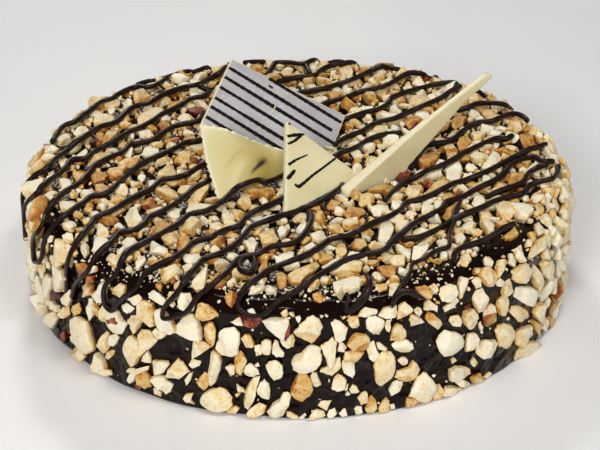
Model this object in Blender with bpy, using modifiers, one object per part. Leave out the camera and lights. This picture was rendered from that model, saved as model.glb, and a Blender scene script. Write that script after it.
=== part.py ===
"""A round truffle cake under a dark chocolate glaze, coated with chopped nuts and set with four chocolate pieces."""
import math

import bmesh
import bpy
import numpy as np
from mathutils import Matrix, Vector

MM = 0.001

# Driving dimensions, in millimetres and degrees. The cake is the size of a standard 8 inch round, 2 inches deep with
# its coat. The front of the cake faces -Y, and the origin is the middle of its base.
CAKE_RADIUS = 101.0
CAKE_TOP = 45.5
RIM_RADIUS = 8.0
FOOT_RADIUS = 1.5
ROUND_STEPS = 96
GAP = 0.3

# The coat of chopped nuts: a ring on the side and a layer on the top, each as uneven as its nuts.
SIDE_NUTS_LOW = 0.8
SIDE_NUTS_HIGH = 36.0
SIDE_NUTS_DEPTH = 3.2
SIDE_NUTS_ROWS = 7
TOP_NUTS_RADIUS = 93.0
TOP_NUTS_DEPTH = 2.8
TOP_NUTS_RINGS = 13
TOP_NUTS_STEPS = 72
NUT_RELIEF = 0.9

# The plates of chocolate stand in the top coat. Each stands on a line through FOOT_POINT that runs at LINE_TURN
# from +X, and leans back by PLATE_LEAN from the level. Corners are in the plate's own plane: along the line, then up.
NUT_LEVEL = 48.0
POCKET_GAP = 0.6

PLAQUE_FOOT_POINT = (12.6, 16.0)
PLAQUE_LINE_TURN = 42.0
PLAQUE_LEAN = 32.0
PLAQUE_LENGTH = 50.0
PLAQUE_WIDTH = 38.0
PLAQUE_TURN = -54.5
PLAQUE_TOP_CORNER = (-15.3, 48.3)
PLAQUE_THICKNESS = 2.4

TRIANGLE_FOOT_POINT = (-4.8, -42.2)
TRIANGLE_LINE_TURN = 48.5
TRIANGLE_LEAN = 40.0
TRIANGLE_CORNERS = ((0.0, 0.0), (40.1, 0.0), (26.3, 29.6))
TRIANGLE_THICKNESS = 2.2

SHARD_FOOT_POINT = (17.8, -28.9)
SHARD_LINE_TURN = 38.5
SHARD_LEAN = 90.0
SHARD_FOOT_LENGTH = 27.0
SHARD_UNDERSIDE = ((29.3, 1.4), (57.0, 20.8), (70.6, 27.2))
SHARD_BACK = ((71.2, 28.6), (42.0, 19.0), (24.9, 11.8), (0.0, 0.4))
SHARD_THICKNESS = 4.6
SHARD_TIP_THICKNESS = 1.4

# The fan is a curled petal: four corners in the cake's own frame, and how far its middle swells and waves.
FAN_TOP_LEFT = (-36.8, -2.0, 63.0)
FAN_TIP = (-28.8, -35.0, 47.8)
FAN_LOW_RIGHT = (-3.0, -13.5, 47.8)
FAN_HIGH_RIGHT = (-2.5, -11.5, 56.0)
FAN_SWELL = 4.5
FAN_WAVE = 2.0
FAN_THICKNESS = 1.8
FAN_STEPS = 10

PLATE_EDGE_ROUND = 0.5


def clear_scene():
    """Remove every object that the new file opened with."""
    for old in list(bpy.data.objects):
        bpy.data.objects.remove(old, do_unlink=True)


def new_collection(name):
    """Return a new collection linked to the scene."""
    made = bpy.data.collections.new(name)
    bpy.context.scene.collection.children.link(made)
    return made


def food_material(name, colour, roughness):
    """Return a Principled material of one colour."""
    made = bpy.data.materials.new(name)
    made.use_nodes = True
    shader = made.node_tree.nodes["Principled BSDF"]
    shader.inputs["Base Color"].default_value = (*colour, 1.0)
    shader.inputs["Roughness"].default_value = roughness
    return made


def place(name, mesh, collection, material=None):
    """Return a new object that holds the mesh, in the collection."""
    made = bpy.data.objects.new(name, mesh)
    collection.objects.link(made)
    if material:
        mesh.materials.append(material)
    return made


def glazed_cake(collection):
    """Turn the glazed cake: a flat base, a straight side, a rounded rim and a flat top."""
    profile = [(0.0, CAKE_TOP)]
    for angle in np.linspace(90.0, 0.0, 7):
        profile.append((CAKE_RADIUS - RIM_RADIUS + RIM_RADIUS * math.cos(math.radians(angle)),
                        CAKE_TOP - RIM_RADIUS + RIM_RADIUS * math.sin(math.radians(angle))))
    for angle in np.linspace(0.0, -90.0, 3):
        profile.append((CAKE_RADIUS - FOOT_RADIUS + FOOT_RADIUS * math.cos(math.radians(angle)),
                        FOOT_RADIUS + FOOT_RADIUS * math.sin(math.radians(angle))))
    profile.append((0.0, 0.0))
    mesh = bpy.data.meshes.new("glazed_cake")
    points = [(r * MM, 0.0, z * MM) for r, z in profile]
    mesh.from_pydata(points, [(i, i + 1) for i in range(len(points) - 1)], [])
    made = place("glazed_cake", mesh, collection, food_material("dark glaze", (0.012, 0.008, 0.008), 0.08))
    turn = made.modifiers.new("turn", "SCREW")
    turn.axis = "Z"
    turn.steps = turn.render_steps = ROUND_STEPS
    turn.use_merge_vertices = True
    turn.merge_threshold = 0.00001
    return made


def closed_mesh(name, points, faces):
    """Return a mesh of points in millimetres, in triangles that all face outward, shaded smooth."""
    mesh = bpy.data.meshes.new(name)
    mesh.from_pydata([tuple(c * MM for c in p) for p in points], [], faces)
    work = bmesh.new()
    work.from_mesh(mesh)
    bmesh.ops.recalc_face_normals(work, faces=work.faces)
    bmesh.ops.triangulate(work, faces=work.faces)
    work.to_mesh(mesh)
    work.free()
    mesh.shade_smooth()
    mesh.set_sharp_from_angle(angle=math.radians(35.0))
    return mesh


def side_nut_coat(collection):
    """Make the ring of nuts on the side: plain inside, and uneven outside by a seeded draw for each point."""
    draw = np.random.RandomState(11)
    inner = CAKE_RADIUS + GAP
    outer = inner + SIDE_NUTS_DEPTH
    levels = np.linspace(SIDE_NUTS_LOW, SIDE_NUTS_HIGH, SIDE_NUTS_ROWS)
    rows = [[(inner, SIDE_NUTS_HIGH), (inner, SIDE_NUTS_LOW)]] * ROUND_STEPS
    rows = [row + [(outer + draw.uniform(-1.0, 0.6) * NUT_RELIEF, z) for z in levels] for row in rows]
    count = len(rows[0])
    points = []
    for step, row in enumerate(rows):
        angle = math.tau * step / ROUND_STEPS
        points += [(r * math.cos(angle), r * math.sin(angle), z) for r, z in row]
    faces = []
    for step in range(ROUND_STEPS):
        here = step * count
        beyond = (step + 1) % ROUND_STEPS * count
        for k in range(count):
            after = (k + 1) % count
            faces.append((here + k, beyond + k, beyond + after, here + after))
    mesh = closed_mesh("side_nut_coat", points, faces)
    return place("side_nut_coat", mesh, collection, food_material("side nuts", (0.72, 0.55, 0.32), 0.6))


def top_nut_layer(collection):
    """Make the layer of nuts on the top: a disc, flat below and uneven above by a seeded draw for each point."""
    draw = np.random.RandomState(12)
    low = CAKE_TOP + GAP
    high = low + TOP_NUTS_DEPTH
    points = [(0.0, 0.0, high)]
    for ring in range(1, TOP_NUTS_RINGS + 1):
        radius = TOP_NUTS_RADIUS * ring / TOP_NUTS_RINGS
        edge_drop = TOP_NUTS_DEPTH * 0.5 if ring == TOP_NUTS_RINGS else 0.0
        for step in range(TOP_NUTS_STEPS):
            angle = math.tau * step / TOP_NUTS_STEPS
            height = high + draw.uniform(-1.0, 1.0) * NUT_RELIEF - edge_drop
            points.append((radius * math.cos(angle), radius * math.sin(angle), height))
    rim = len(points) - TOP_NUTS_STEPS
    points += [(points[rim + step][0], points[rim + step][1], low) for step in range(TOP_NUTS_STEPS)]
    faces = []
    for step in range(TOP_NUTS_STEPS):
        after = (step + 1) % TOP_NUTS_STEPS
        faces.append((0, 1 + step, 1 + after))
        for ring in range(TOP_NUTS_RINGS):
            here = 1 + ring * TOP_NUTS_STEPS
            beyond = here + TOP_NUTS_STEPS
            faces.append((here + step, beyond + step, beyond + after, here + after))
    base = len(points) - TOP_NUTS_STEPS
    faces.append(tuple(range(base, len(points))))
    mesh = closed_mesh("top_nut_layer", points, faces)
    return place("top_nut_layer", mesh, collection, food_material("top nuts", (0.66, 0.42, 0.2), 0.6))


def standing_matrix(foot_point, line_turn, lean):
    """Return the matrix that takes a plate's plane (along its line, up, out of its face) to where it stands."""
    turn = math.radians(line_turn)
    rise = math.radians(lean)
    along = Vector((math.cos(turn), math.sin(turn), 0.0))
    up = Vector((-math.sin(turn) * math.cos(rise), math.cos(turn) * math.cos(rise), math.sin(rise)))
    out = along.cross(up)
    frame = Matrix((along, up, out)).transposed().to_4x4()
    frame.translation = Vector((foot_point[0], foot_point[1], NUT_LEVEL)) * MM
    return frame


def foot_level(lean, thickness):
    """Return how far up its plane a leaning plate ends, so that its back edge rests just above the glaze."""
    rise = math.radians(lean)
    return (CAKE_TOP + GAP - NUT_LEVEL + thickness * math.cos(rise)) / math.sin(rise)


def plate(name, corners, thickness, matrix, collection, material):
    """Make a flat plate: an outline filled and given its thickness behind its face, with slightly rounded edges."""
    outline = bpy.data.curves.new(name, "CURVE")
    outline.dimensions = "2D"
    outline.fill_mode = "BOTH"
    outline.extrude = thickness / 2 * MM
    line = outline.splines.new("POLY")
    line.points.add(len(corners) - 1)
    for point, (along, up) in zip(line.points, corners):
        point.co = (along * MM, up * MM, 0.0, 1.0)
    line.use_cyclic_u = True
    drawn = bpy.data.objects.new(name + "_outline", outline)
    collection.objects.link(drawn)
    bpy.context.view_layer.update()
    flat = drawn.evaluated_get(bpy.context.evaluated_depsgraph_get())
    mesh = bpy.data.meshes.new_from_object(flat)
    bpy.data.objects.remove(drawn, do_unlink=True)
    work = bmesh.new()
    work.from_mesh(mesh)
    bmesh.ops.remove_doubles(work, verts=work.verts, dist=0.00001)
    bmesh.ops.dissolve_limit(work, angle_limit=0.001, verts=work.verts, edges=work.edges)
    bmesh.ops.translate(work, verts=work.verts, vec=(0.0, 0.0, -thickness / 2 * MM))
    bmesh.ops.recalc_face_normals(work, faces=work.faces)
    work.to_mesh(mesh)
    work.free()
    mesh.name = name
    made = place(name, mesh, collection, material)
    made.matrix_world = matrix
    edge = made.modifiers.new("soft edge", "BEVEL")
    edge.width = PLATE_EDGE_ROUND * MM
    edge.segments = 2
    return made


def stood_on(foot, corners):
    """Return an outline, given anticlockwise, cut off straight along the foot line."""
    kept = []
    for here, after in zip(corners, corners[1:] + corners[:1]):
        if here[1] >= foot:
            kept.append(here)
        if (here[1] >= foot) != (after[1] >= foot):
            part = (foot - here[1]) / (after[1] - here[1])
            kept.append((here[0] + (after[0] - here[0]) * part, foot))
    return kept


def sunk(corners, foot):
    """Return a triangle whose first two corners stand on the nut level, its sides drawn on down to the foot line."""
    left, right, peak = corners
    part = foot / peak[1]
    return [(left[0] + (peak[0] - left[0]) * part, foot), (right[0] + (peak[0] - right[0]) * part, foot), peak]


def striped_plaque(collection):
    """Make the striped plaque: a rectangle turned in its own plane, with its lowest corner sunk out of sight."""
    turn = math.radians(PLAQUE_TURN)
    long_side = Vector((math.cos(turn), math.sin(turn))) * PLAQUE_LENGTH
    short_side = Vector((math.sin(turn), -math.cos(turn))) * PLAQUE_WIDTH
    top = Vector(PLAQUE_TOP_CORNER)
    corners = [tuple(c) for c in (top, top + short_side, top + short_side + long_side, top + long_side)]
    outline = stood_on(foot_level(PLAQUE_LEAN, PLAQUE_THICKNESS), corners)
    matrix = standing_matrix(PLAQUE_FOOT_POINT, PLAQUE_LINE_TURN, PLAQUE_LEAN)
    material = food_material("striped plaque", (0.33, 0.32, 0.35), 0.25)
    return plate("striped_plaque", outline, PLAQUE_THICKNESS, matrix, collection, material)


def lined_triangle(collection):
    """Make the white triangle, whose lower side stands in the nuts."""
    outline = sunk(TRIANGLE_CORNERS, foot_level(TRIANGLE_LEAN, TRIANGLE_THICKNESS))
    matrix = standing_matrix(TRIANGLE_FOOT_POINT, TRIANGLE_LINE_TURN, TRIANGLE_LEAN)
    material = food_material("lined triangle", (0.8, 0.72, 0.45), 0.4)
    return plate("lined_triangle", outline, TRIANGLE_THICKNESS, matrix, collection, material)


def white_shard(collection):
    """Make the long white shard, on edge in the nuts with its tip in the air, thinner toward the tip."""
    foot = foot_level(SHARD_LEAN, SHARD_THICKNESS)
    corners = [(0.0, foot), (SHARD_FOOT_LENGTH, foot), *SHARD_UNDERSIDE, *SHARD_BACK]
    matrix = standing_matrix(SHARD_FOOT_POINT, SHARD_LINE_TURN, SHARD_LEAN)
    material = food_material("white shard", (0.8, 0.75, 0.55), 0.4)
    made = plate("white_shard", corners, SHARD_THICKNESS, matrix, collection, material)
    loss = (1.0 - SHARD_TIP_THICKNESS / SHARD_THICKNESS) / (SHARD_BACK[0][0] * MM)
    for point in made.data.vertices:
        point.co.z *= 1.0 - loss * point.co.x
    return made


def white_fan(collection):
    """Make the curled fan: a patch between four corners that swells toward the front and waves along its length."""
    low_left, low_right = np.array(FAN_TIP), np.array(FAN_LOW_RIGHT)
    high_left, high_right = np.array(FAN_TOP_LEFT), np.array(FAN_HIGH_RIGHT)
    out = np.cross(low_right - low_left, high_left - low_left)
    out = out / np.linalg.norm(out)
    points = []
    for i in range(FAN_STEPS + 1):
        along = i / FAN_STEPS
        for j in range(FAN_STEPS + 1):
            up = j / FAN_STEPS
            flat = (low_left * (1 - along) + low_right * along) * (1 - up)
            flat = flat + (high_left * (1 - along) + high_right * along) * up
            swell = FAN_SWELL * math.sin(math.pi * up) * math.sin(math.pi * along)
            wave = FAN_WAVE * math.sin(2 * math.pi * along) * up * (1 - along)
            points.append(flat + out * (swell + wave))
    faces = []
    across = FAN_STEPS + 1
    for i in range(FAN_STEPS):
        for j in range(FAN_STEPS):
            corner = i * across + j
            faces.append((corner, corner + across, corner + across + 1, corner + 1))
    mesh = bpy.data.meshes.new("white_fan")
    mesh.from_pydata([tuple(p * MM) for p in points], [], faces)
    mesh.shade_smooth()
    made = place("white_fan", mesh, collection, food_material("white fan", (0.8, 0.73, 0.42), 0.4))
    depth = made.modifiers.new("depth", "SOLIDIFY")
    depth.thickness = FAN_THICKNESS * MM
    depth.offset = -1.0
    return made


def pocket(standing, cutters):
    """Return the cutter for the hole in the top nuts round the foot of a standing piece, a little larger than it."""
    bpy.context.view_layer.update()
    seen = standing.evaluated_get(bpy.context.evaluated_depsgraph_get())
    mesh = seen.to_mesh()
    reach = (CAKE_TOP + TOP_NUTS_DEPTH + 3.0) * MM
    work = bmesh.new()
    work.from_mesh(mesh)
    bmesh.ops.transform(work, matrix=standing.matrix_world, verts=work.verts)
    bmesh.ops.bisect_plane(work, geom=work.verts[:] + work.edges[:] + work.faces[:],
                           plane_co=(0.0, 0.0, reach), plane_no=(0.0, 0.0, 1.0), clear_outer=True)
    feet = [v.co.copy() for v in work.verts]
    work.free()
    seen.to_mesh_clear()
    room = POCKET_GAP * MM
    hull = bmesh.new()
    for foot in feet:
        for dx in (-room, room):
            for dy in (-room, room):
                hull.verts.new((foot.x + dx, foot.y + dy, foot.z + room))
                hull.verts.new((foot.x + dx, foot.y + dy, (CAKE_TOP - 1.0) * MM))
    made = bmesh.ops.convex_hull(hull, input=hull.verts)
    spare = {v for v in made["geom_interior"] + made["geom_unused"] if isinstance(v, bmesh.types.BMVert)}
    bmesh.ops.delete(hull, geom=list(spare), context="VERTS")
    bmesh.ops.recalc_face_normals(hull, faces=hull.faces)
    mesh = bpy.data.meshes.new(standing.name + "_pocket")
    hull.to_mesh(mesh)
    hull.free()
    cutter = place(mesh.name, mesh, cutters)
    cutter.hide_render = True
    cutter.display_type = "WIRE"
    return cutter


def build():
    """Build the cake, its coats and the four pieces on it."""
    clear_scene()
    cake = new_collection("truffle_cake")
    cutters = new_collection("cutters")
    glazed_cake(cake)
    side_nut_coat(cake)
    layer = top_nut_layer(cake)
    for make in (striped_plaque, lined_triangle, white_shard, white_fan):
        standing = make(cake)
        hole = layer.modifiers.new(standing.name, "BOOLEAN")
        hole.operation = "DIFFERENCE"
        hole.solver = "EXACT"
        hole.object = pocket(standing, cutters)


build()
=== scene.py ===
"""Truffle cake under a dark glaze, with chopped nuts, a piped zigzag and four chocolate pieces. Millimetres
until the vertices are written, which are in metres."""

import math
import bpy
import numpy as np
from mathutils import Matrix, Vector


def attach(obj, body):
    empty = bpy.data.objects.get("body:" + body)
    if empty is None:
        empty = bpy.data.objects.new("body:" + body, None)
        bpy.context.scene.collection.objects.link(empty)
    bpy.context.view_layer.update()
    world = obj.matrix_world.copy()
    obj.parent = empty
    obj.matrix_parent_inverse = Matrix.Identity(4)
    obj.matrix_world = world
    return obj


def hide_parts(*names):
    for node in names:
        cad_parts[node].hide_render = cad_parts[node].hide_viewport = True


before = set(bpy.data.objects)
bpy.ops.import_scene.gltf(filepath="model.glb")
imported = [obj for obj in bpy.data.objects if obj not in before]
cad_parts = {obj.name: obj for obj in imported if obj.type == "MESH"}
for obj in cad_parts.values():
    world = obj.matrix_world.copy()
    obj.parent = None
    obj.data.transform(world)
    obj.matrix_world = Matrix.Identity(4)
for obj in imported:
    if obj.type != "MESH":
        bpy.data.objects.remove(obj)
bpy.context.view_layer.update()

# ----------------------------------------------------------------------------------------------------
# The glazed cake: a cold round truffle cake with dark glaze poured over it warm. The glaze pools flat and
# wet on the top, rounds the rim and sets in slow waves down the side.
FLAT_RADIUS = 93.0  # the flat top, out to where the rim starts to turn
NUT_TOPS = 48.5  # height of the nut tops over the flat
RIM_TURN = 11.0  # radius of the rim at the nut tops
GLAZE_DOWN = -3.0  # the glaze lies this far under the nut tops
SKIN_END = 147.6  # way out and down over the skin to the cake's foot
GLAZE_COLUMNS = 360  # points round the cake


def wrap(u, v, lift):
    """Point and outward normal on the cake for a place on its unrolled skin. s is the way out from the
    middle: flat up to FLAT_RADIUS, then a quarter turn of RIM_TURN, then straight down. lift is along the
    normal."""
    s = np.hypot(u, v) + 1e-9
    ex, ey = u / s, v / s
    turn = np.clip((s - FLAT_RADIUS) / RIM_TURN, 0.0, math.pi / 2)
    down = np.maximum(0.0, s - FLAT_RADIUS - RIM_TURN * math.pi / 2)
    r = np.minimum(s, FLAT_RADIUS) + (RIM_TURN + lift) * np.sin(turn)
    z = NUT_TOPS - RIM_TURN + (RIM_TURN + lift) * np.cos(turn) - down
    point = np.stack([ex * r, ey * r, z], -1)
    normal = np.stack([ex * np.sin(turn), ey * np.sin(turn), np.cos(turn)], -1)
    return point, normal


def mesh_piece(name, points, faces, smooth=True):
    """A mesh object from points in millimetres and rows of corner numbers, written in metres."""
    mesh = bpy.data.meshes.new(name)
    mesh.from_pydata((np.asarray(points, float) / 1000.0).tolist(), [], np.asarray(faces).tolist())
    mesh.polygons.foreach_set("use_smooth", np.full(len(mesh.polygons), smooth))
    mesh.update()
    piece = bpy.data.objects.new(name, mesh)
    bpy.context.scene.collection.objects.link(piece)
    return piece


def grid_faces(rows, columns, closed):
    """Corner numbers of the squares of a grid of points, rows by columns, joined round if closed."""
    i = np.arange(rows - 1)[:, None] * columns
    j = np.arange(columns if closed else columns - 1)[None, :]
    k = (j + 1) % columns
    return np.stack([i + j, i + columns + j, i + columns + k, i + k], -1).reshape(-1, 4)


def linear(hex_colour):
    """An sRGB hex colour as linear red, green, blue and one: each channel over 12.92 when it is nearly
    black, else the channel plus 0.055, over 1.055, to the power 2.4."""
    c = np.array([int(hex_colour[i:i + 2], 16) for i in (0, 2, 4)]) / 255.0
    lin = np.where(c <= 0.04045, c / 12.92, ((c + 0.055) / 1.055) ** 2.4)
    return (*lin.tolist(), 1.0)


def node(tree, kind, values=(), links=(), settings=(), stops=()):
    """Adds one shader node: its input values, its links from another node's first output or from (node,
    output), its settings, and the stops of a colour ramp as (place, hex colour)."""
    made = tree.nodes.new(kind)
    for key, value in dict(settings).items():
        setattr(made, key, value)
    for key, value in dict(values).items():
        made.inputs[key].default_value = value
    for key, source in dict(links).items():
        source, output = source if isinstance(source, tuple) else (source, 0)
        tree.links.new(source.outputs[output], made.inputs[key])
    if stops:
        elements = made.color_ramp.elements
        while len(elements) < len(stops):
            elements.new(0.5)
        for element, (spot, colour) in zip(elements, stops):
            element.position = spot
            element.color = linear(colour)
    return made


def material(name):
    """An empty node material: returns it, its tree, and the output with the places on the object."""
    made = bpy.data.materials.new(name)
    made.use_nodes = True
    made.node_tree.nodes.clear()
    return made, made.node_tree, (node(made.node_tree, "ShaderNodeTexCoord"), "Object")


def poured_glaze():
    """Revolves the skin: rows from the middle out and down to the foot, then the flat underside back to the
    middle. The lift is waved by the sum of three slow sines round and down the side, small ones at the rim,
    and ridges of a knife at the left front, where a bell-shaped patch lets them through."""
    turns = np.linspace(0, 2 * math.pi, GLAZE_COLUMNS, endpoint=False)
    s = np.concatenate([np.linspace(0.01, FLAT_RADIUS, 50), np.linspace(FLAT_RADIUS + 1, SKIN_END, 60)])
    ss, tt = np.meshgrid(s, turns, indexing="ij")
    side = np.clip((ss - 96) / 12, 0, 1)
    wave = 0.35 * np.sin(9 * tt + 1.3) + 0.25 * np.sin(17 * tt + 0.06 * ss)
    wave = wave + 0.15 * np.sin(31 * tt - 0.12 * ss)
    wave = wave + 0.1 * np.sin(61 * tt + 2 * np.sin(5 * tt)) * np.exp(-((ss - 98) / 5) ** 2)
    u, v = ss * np.cos(tt), ss * np.sin(tt)
    ridged = np.exp(-(((u + 62) / 22) ** 2 + ((v + 74) / 13) ** 2) ** 2)
    wave = wave + 0.28 * ridged * np.sin(0.95 * u + 0.5 * v + 0.8 * np.sin(0.2 * v))
    wave = wave * side + 0.12 * np.sin(ss * 0.21 + 3 * tt) * np.sin(0.17 * ss - 2 * tt)
    top, _ = wrap(u, v, GLAZE_DOWN + wave)
    foot_r = np.hypot(top[-1, :, 0], top[-1, :, 1])
    rings = [top]
    for inward in (0.6, 8.0, 60.0, 100.9):
        r = foot_r - inward
        rings.append(np.stack([r * np.cos(turns), r * np.sin(turns), np.zeros_like(turns)], -1)[None])
    points = np.concatenate(rings)
    rows = points.shape[0]
    return mesh_piece("glazed_cake_skin", points.reshape(-1, 3), grid_faces(rows, GLAZE_COLUMNS, True))


glaze = poured_glaze()
glaze_mat, tree, place = material("dark_chocolate_glaze")
# near-black brown: mirror-like where it pooled on top, satin and dimpled where it ran thin down the side.
# The clouds are 22 mm wide, the dimples 8 mm, the grain 3 mm and the glints 0.9 mm
slow, dimple, fine, glint = (
    node(tree, "ShaderNodeTexNoise", {"Scale": scale, "Detail": detail}, {"Vector": place})
    for scale, detail in ((45.0, 3.0), (120.0, 2.0), (340.0, 3.0), (1100.0, 2.0)))
height = (node(tree, "ShaderNodeSeparateXYZ", links={"Vector": place}), "Z")
# by height in metres: how rough it is, how deep the dimples are and how strong the glints
wet, slack, sparkle = (
    node(tree, "ShaderNodeMapRange", dict(zip(("From Min", "From Max", "To Min", "To Max"), limits)),
         {"Value": height})
    for limits in ((0.034, 0.044, 0.14, 0.03), (0.03, 0.039, 1.0, 0.0), (0.0438, 0.0452, 0.06, 0.7)))
uneven = node(tree, "ShaderNodeMath", {1: 0.1, 2: -0.04}, {0: slow}, {"operation": "MULTIPLY_ADD"})
rough = node(tree, "ShaderNodeMath", links={0: wet, 1: uneven}, settings={"operation": "ADD"})
waves = node(tree, "ShaderNodeBump", {"Strength": 0.5, "Distance": 0.002}, {"Height": slow})
dimples = node(tree, "ShaderNodeBump", {"Distance": 0.0047},
               {"Height": dimple, "Strength": slack, "Normal": waves})
grain = node(tree, "ShaderNodeBump", {"Strength": 0.2, "Distance": 0.0005},
             {"Height": fine, "Normal": dimples})
glints = node(tree, "ShaderNodeBump", {"Distance": 0.0003},
              {"Height": glint, "Strength": sparkle, "Normal": grain})
colour = node(tree, "ShaderNodeValToRGB", links={"Fac": slow}, stops=((0.3, "0c0503"), (0.7, "190b07")))
shader = node(tree, "ShaderNodeBsdfPrincipled", {"IOR": 1.4, "Specular IOR Level": 0.27},
              {"Base Color": colour, "Roughness": rough, "Normal": glints})
node(tree, "ShaderNodeOutputMaterial", links={"Surface": shader})
glaze.data.materials.append(glaze_mat)
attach(glaze, "root")
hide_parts("glazed_cake")

# ----------------------------------------------------------------------------------------------------
# The chocolate plates: thin sheets of tempered white chocolate, cut when half set, so their edges are
# nearly sharp. They stand and lean in the nuts. Each has its own flat frame: along its foot line, up its
# face, out of its face.
NUT_LEVEL = 48.0  # the foot lines lie at this height
STROKE_SIDES = 8  # sides of a drawn line's tube


def standing(foot_point, line_turn, lean):
    """A plate's frame: its origin on the nut level, along, which is turned line_turn degrees from the right,
    up, which is square to it and leans lean degrees from level, and out, the cross product of the two."""
    turn, rise = math.radians(line_turn), math.radians(lean)
    along = np.array([math.cos(turn), math.sin(turn), 0.0])
    up = np.array([-math.sin(turn) * math.cos(rise), math.cos(turn) * math.cos(rise), math.sin(rise)])
    return np.array([*foot_point, NUT_LEVEL]), along, up, np.cross(along, up)


def rounded(corners, radius, step):
    """A closed outline with each corner cut by a small curve that starts and ends radius from it (a
    quadratic between those two points, drawn to the corner), and points about step apart along the
    straights."""
    p = np.array(corners, float)
    to_next = np.roll(p, -1, 0) - p
    length = np.linalg.norm(to_next, axis=1, keepdims=True)
    ahead = to_next / length
    back = np.roll(ahead, 1, 0)
    t = np.linspace(0, 1, 4)[None, :, None]
    enter, leave = (p - back * radius)[:, None], (p + ahead * radius)[:, None]
    curve = enter * (1 - t) ** 2 + p[:, None] * 2 * t * (1 - t) + leave * t ** 2
    parts = []
    for k, bend in enumerate(curve):
        parts.append(bend)
        count = max(2, int((length[k, 0] - 2 * radius) / step))
        share = np.linspace(0, 1, count + 1)[1:-1, None]
        parts.append(bend[-1] * (1 - share) + curve[(k + 1) % len(p)][0] * share)
    return np.concatenate(parts)


def lifted(stand, by):
    """The same frame moved out of the plate's face."""
    origin, along, up, out = stand
    return origin + out * by, along, up, out


def plate_piece(name, corners, thickness, stand, radius=0.5, edge=0.3, taper=((0, 1.0), (99, 1.0))):
    """A sheet as a mesh: rings that shrink from the outline to the middle of the face, round the edge and
    back to the middle behind. The face rides on slow sines so that it isn't dead flat. taper gives places
    along and the share of the thickness there. Its UV map is along and up, in tenths of a metre."""
    origin, along, up, out = stand
    line = rounded(corners, radius, 1.2)
    run = np.roll(line, -1, 0) - np.roll(line, 1, 0)
    outward = np.stack([run[:, 1], -run[:, 0]], -1) / np.linalg.norm(run, axis=1, keepdims=True)
    line = line + outward * (0.08 * np.sin(np.arange(len(line)) * 1.7))[:, None]
    middle = line.mean(0)
    inner = line - outward * edge
    shoulder = line - outward * edge * 0.3
    shares = (0.01, 0.3, 0.6, 0.85)
    rings = [(middle + (inner - middle) * k, 0.0) for k in shares]
    rings += [(inner, 0.0), (shoulder, 0.3 * edge), (line, edge)]
    rings += [(line, thickness - edge), (shoulder, thickness - 0.3 * edge), (inner, thickness)]
    rings += [(middle + (inner - middle) * k, thickness) for k in shares[::-1]]
    flat = np.stack([ring for ring, depth in rings])
    depth = np.stack([np.full(len(line), depth) for ring, depth in rings])
    depth = depth * np.interp(flat[..., 0], *zip(*taper))
    depth = depth + 0.1 * np.sin(flat[..., 0] * 0.21 + 1) * np.sin(flat[..., 1] * 0.17)
    points = origin + flat[..., 0:1] * along + flat[..., 1:2] * up - depth[..., None] * out
    piece = mesh_piece(name, points.reshape(-1, 3), grid_faces(len(rings), len(line), True))
    piece.data.set_sharp_from_angle(angle=math.radians(50))
    corner = np.zeros(len(piece.data.loops), np.int32)
    piece.data.loops.foreach_get("vertex_index", corner)
    # the rings round the edge are marked for a painted highlight, which the material paints paler
    painted_edge_highlight = piece.data.attributes.new("painted_edge_highlight", "FLOAT", "POINT")
    share = np.repeat(np.array([float(3 < k < 9) for k in range(len(rings))]), len(line))
    painted_edge_highlight.data.foreach_set("value", share.astype(np.float32))
    uv = piece.data.uv_layers.new(name="plate")
    uv.data.foreach_set("uv", (flat.reshape(-1, 2)[corner] / 100.0).astype(np.float32).ravel())
    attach(piece, "root")
    return piece


def strokes(name, lines, stand, height):
    """Thin lines drawn on a plate's face, each a low tube with an oval section: lines holds (places along
    and up, widths at those places)."""
    origin, along, up, out = stand
    all_points, all_faces, total = [], [], 0
    turn = np.linspace(0, 2 * math.pi, STROKE_SIDES, endpoint=False)
    for places, widths in lines:
        p = np.array(places, float)
        far = np.concatenate([[0], np.cumsum(np.linalg.norm(np.diff(p, axis=0), axis=1))])
        even = np.linspace(0, far[-1], max(6, int(far[-1] / 0.7)))
        path = np.stack([np.interp(even, far, p[:, k]) for k in range(2)], -1)
        half = np.interp(even, far, np.array(widths, float)) / 2
        half = half * (1 + 0.10 * np.sin(even * 2.3 + total) + 0.06 * np.sin(even * 5.1))
        run = np.gradient(path, axis=0)
        run /= np.linalg.norm(run, axis=1, keepdims=True) + 1e-9
        path, run, half = (np.concatenate([part[:1], part, part[-1:]]) for part in (path, run, half))
        half[[0, -1]] = 0.02
        across = np.stack([-run[:, 1], run[:, 0]], -1)
        flat = path[:, None] + across[:, None] * (np.cos(turn)[None] * half[:, None])[..., None]
        rise = np.sin(turn)[None] * height * np.minimum(1, half / 0.3)[:, None] + 0.02
        points = origin + flat[..., 0:1] * along + flat[..., 1:2] * up + rise[..., None] * out
        all_points.append(points.reshape(-1, 3))
        all_faces.append(grid_faces(len(path), STROKE_SIDES, True) + total)
        total += len(path) * STROKE_SIDES
    piece = mesh_piece(name, np.concatenate(all_points), np.concatenate(all_faces))
    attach(piece, "root")
    return piece


white_mat, tree, place = material("white_chocolate")
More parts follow.
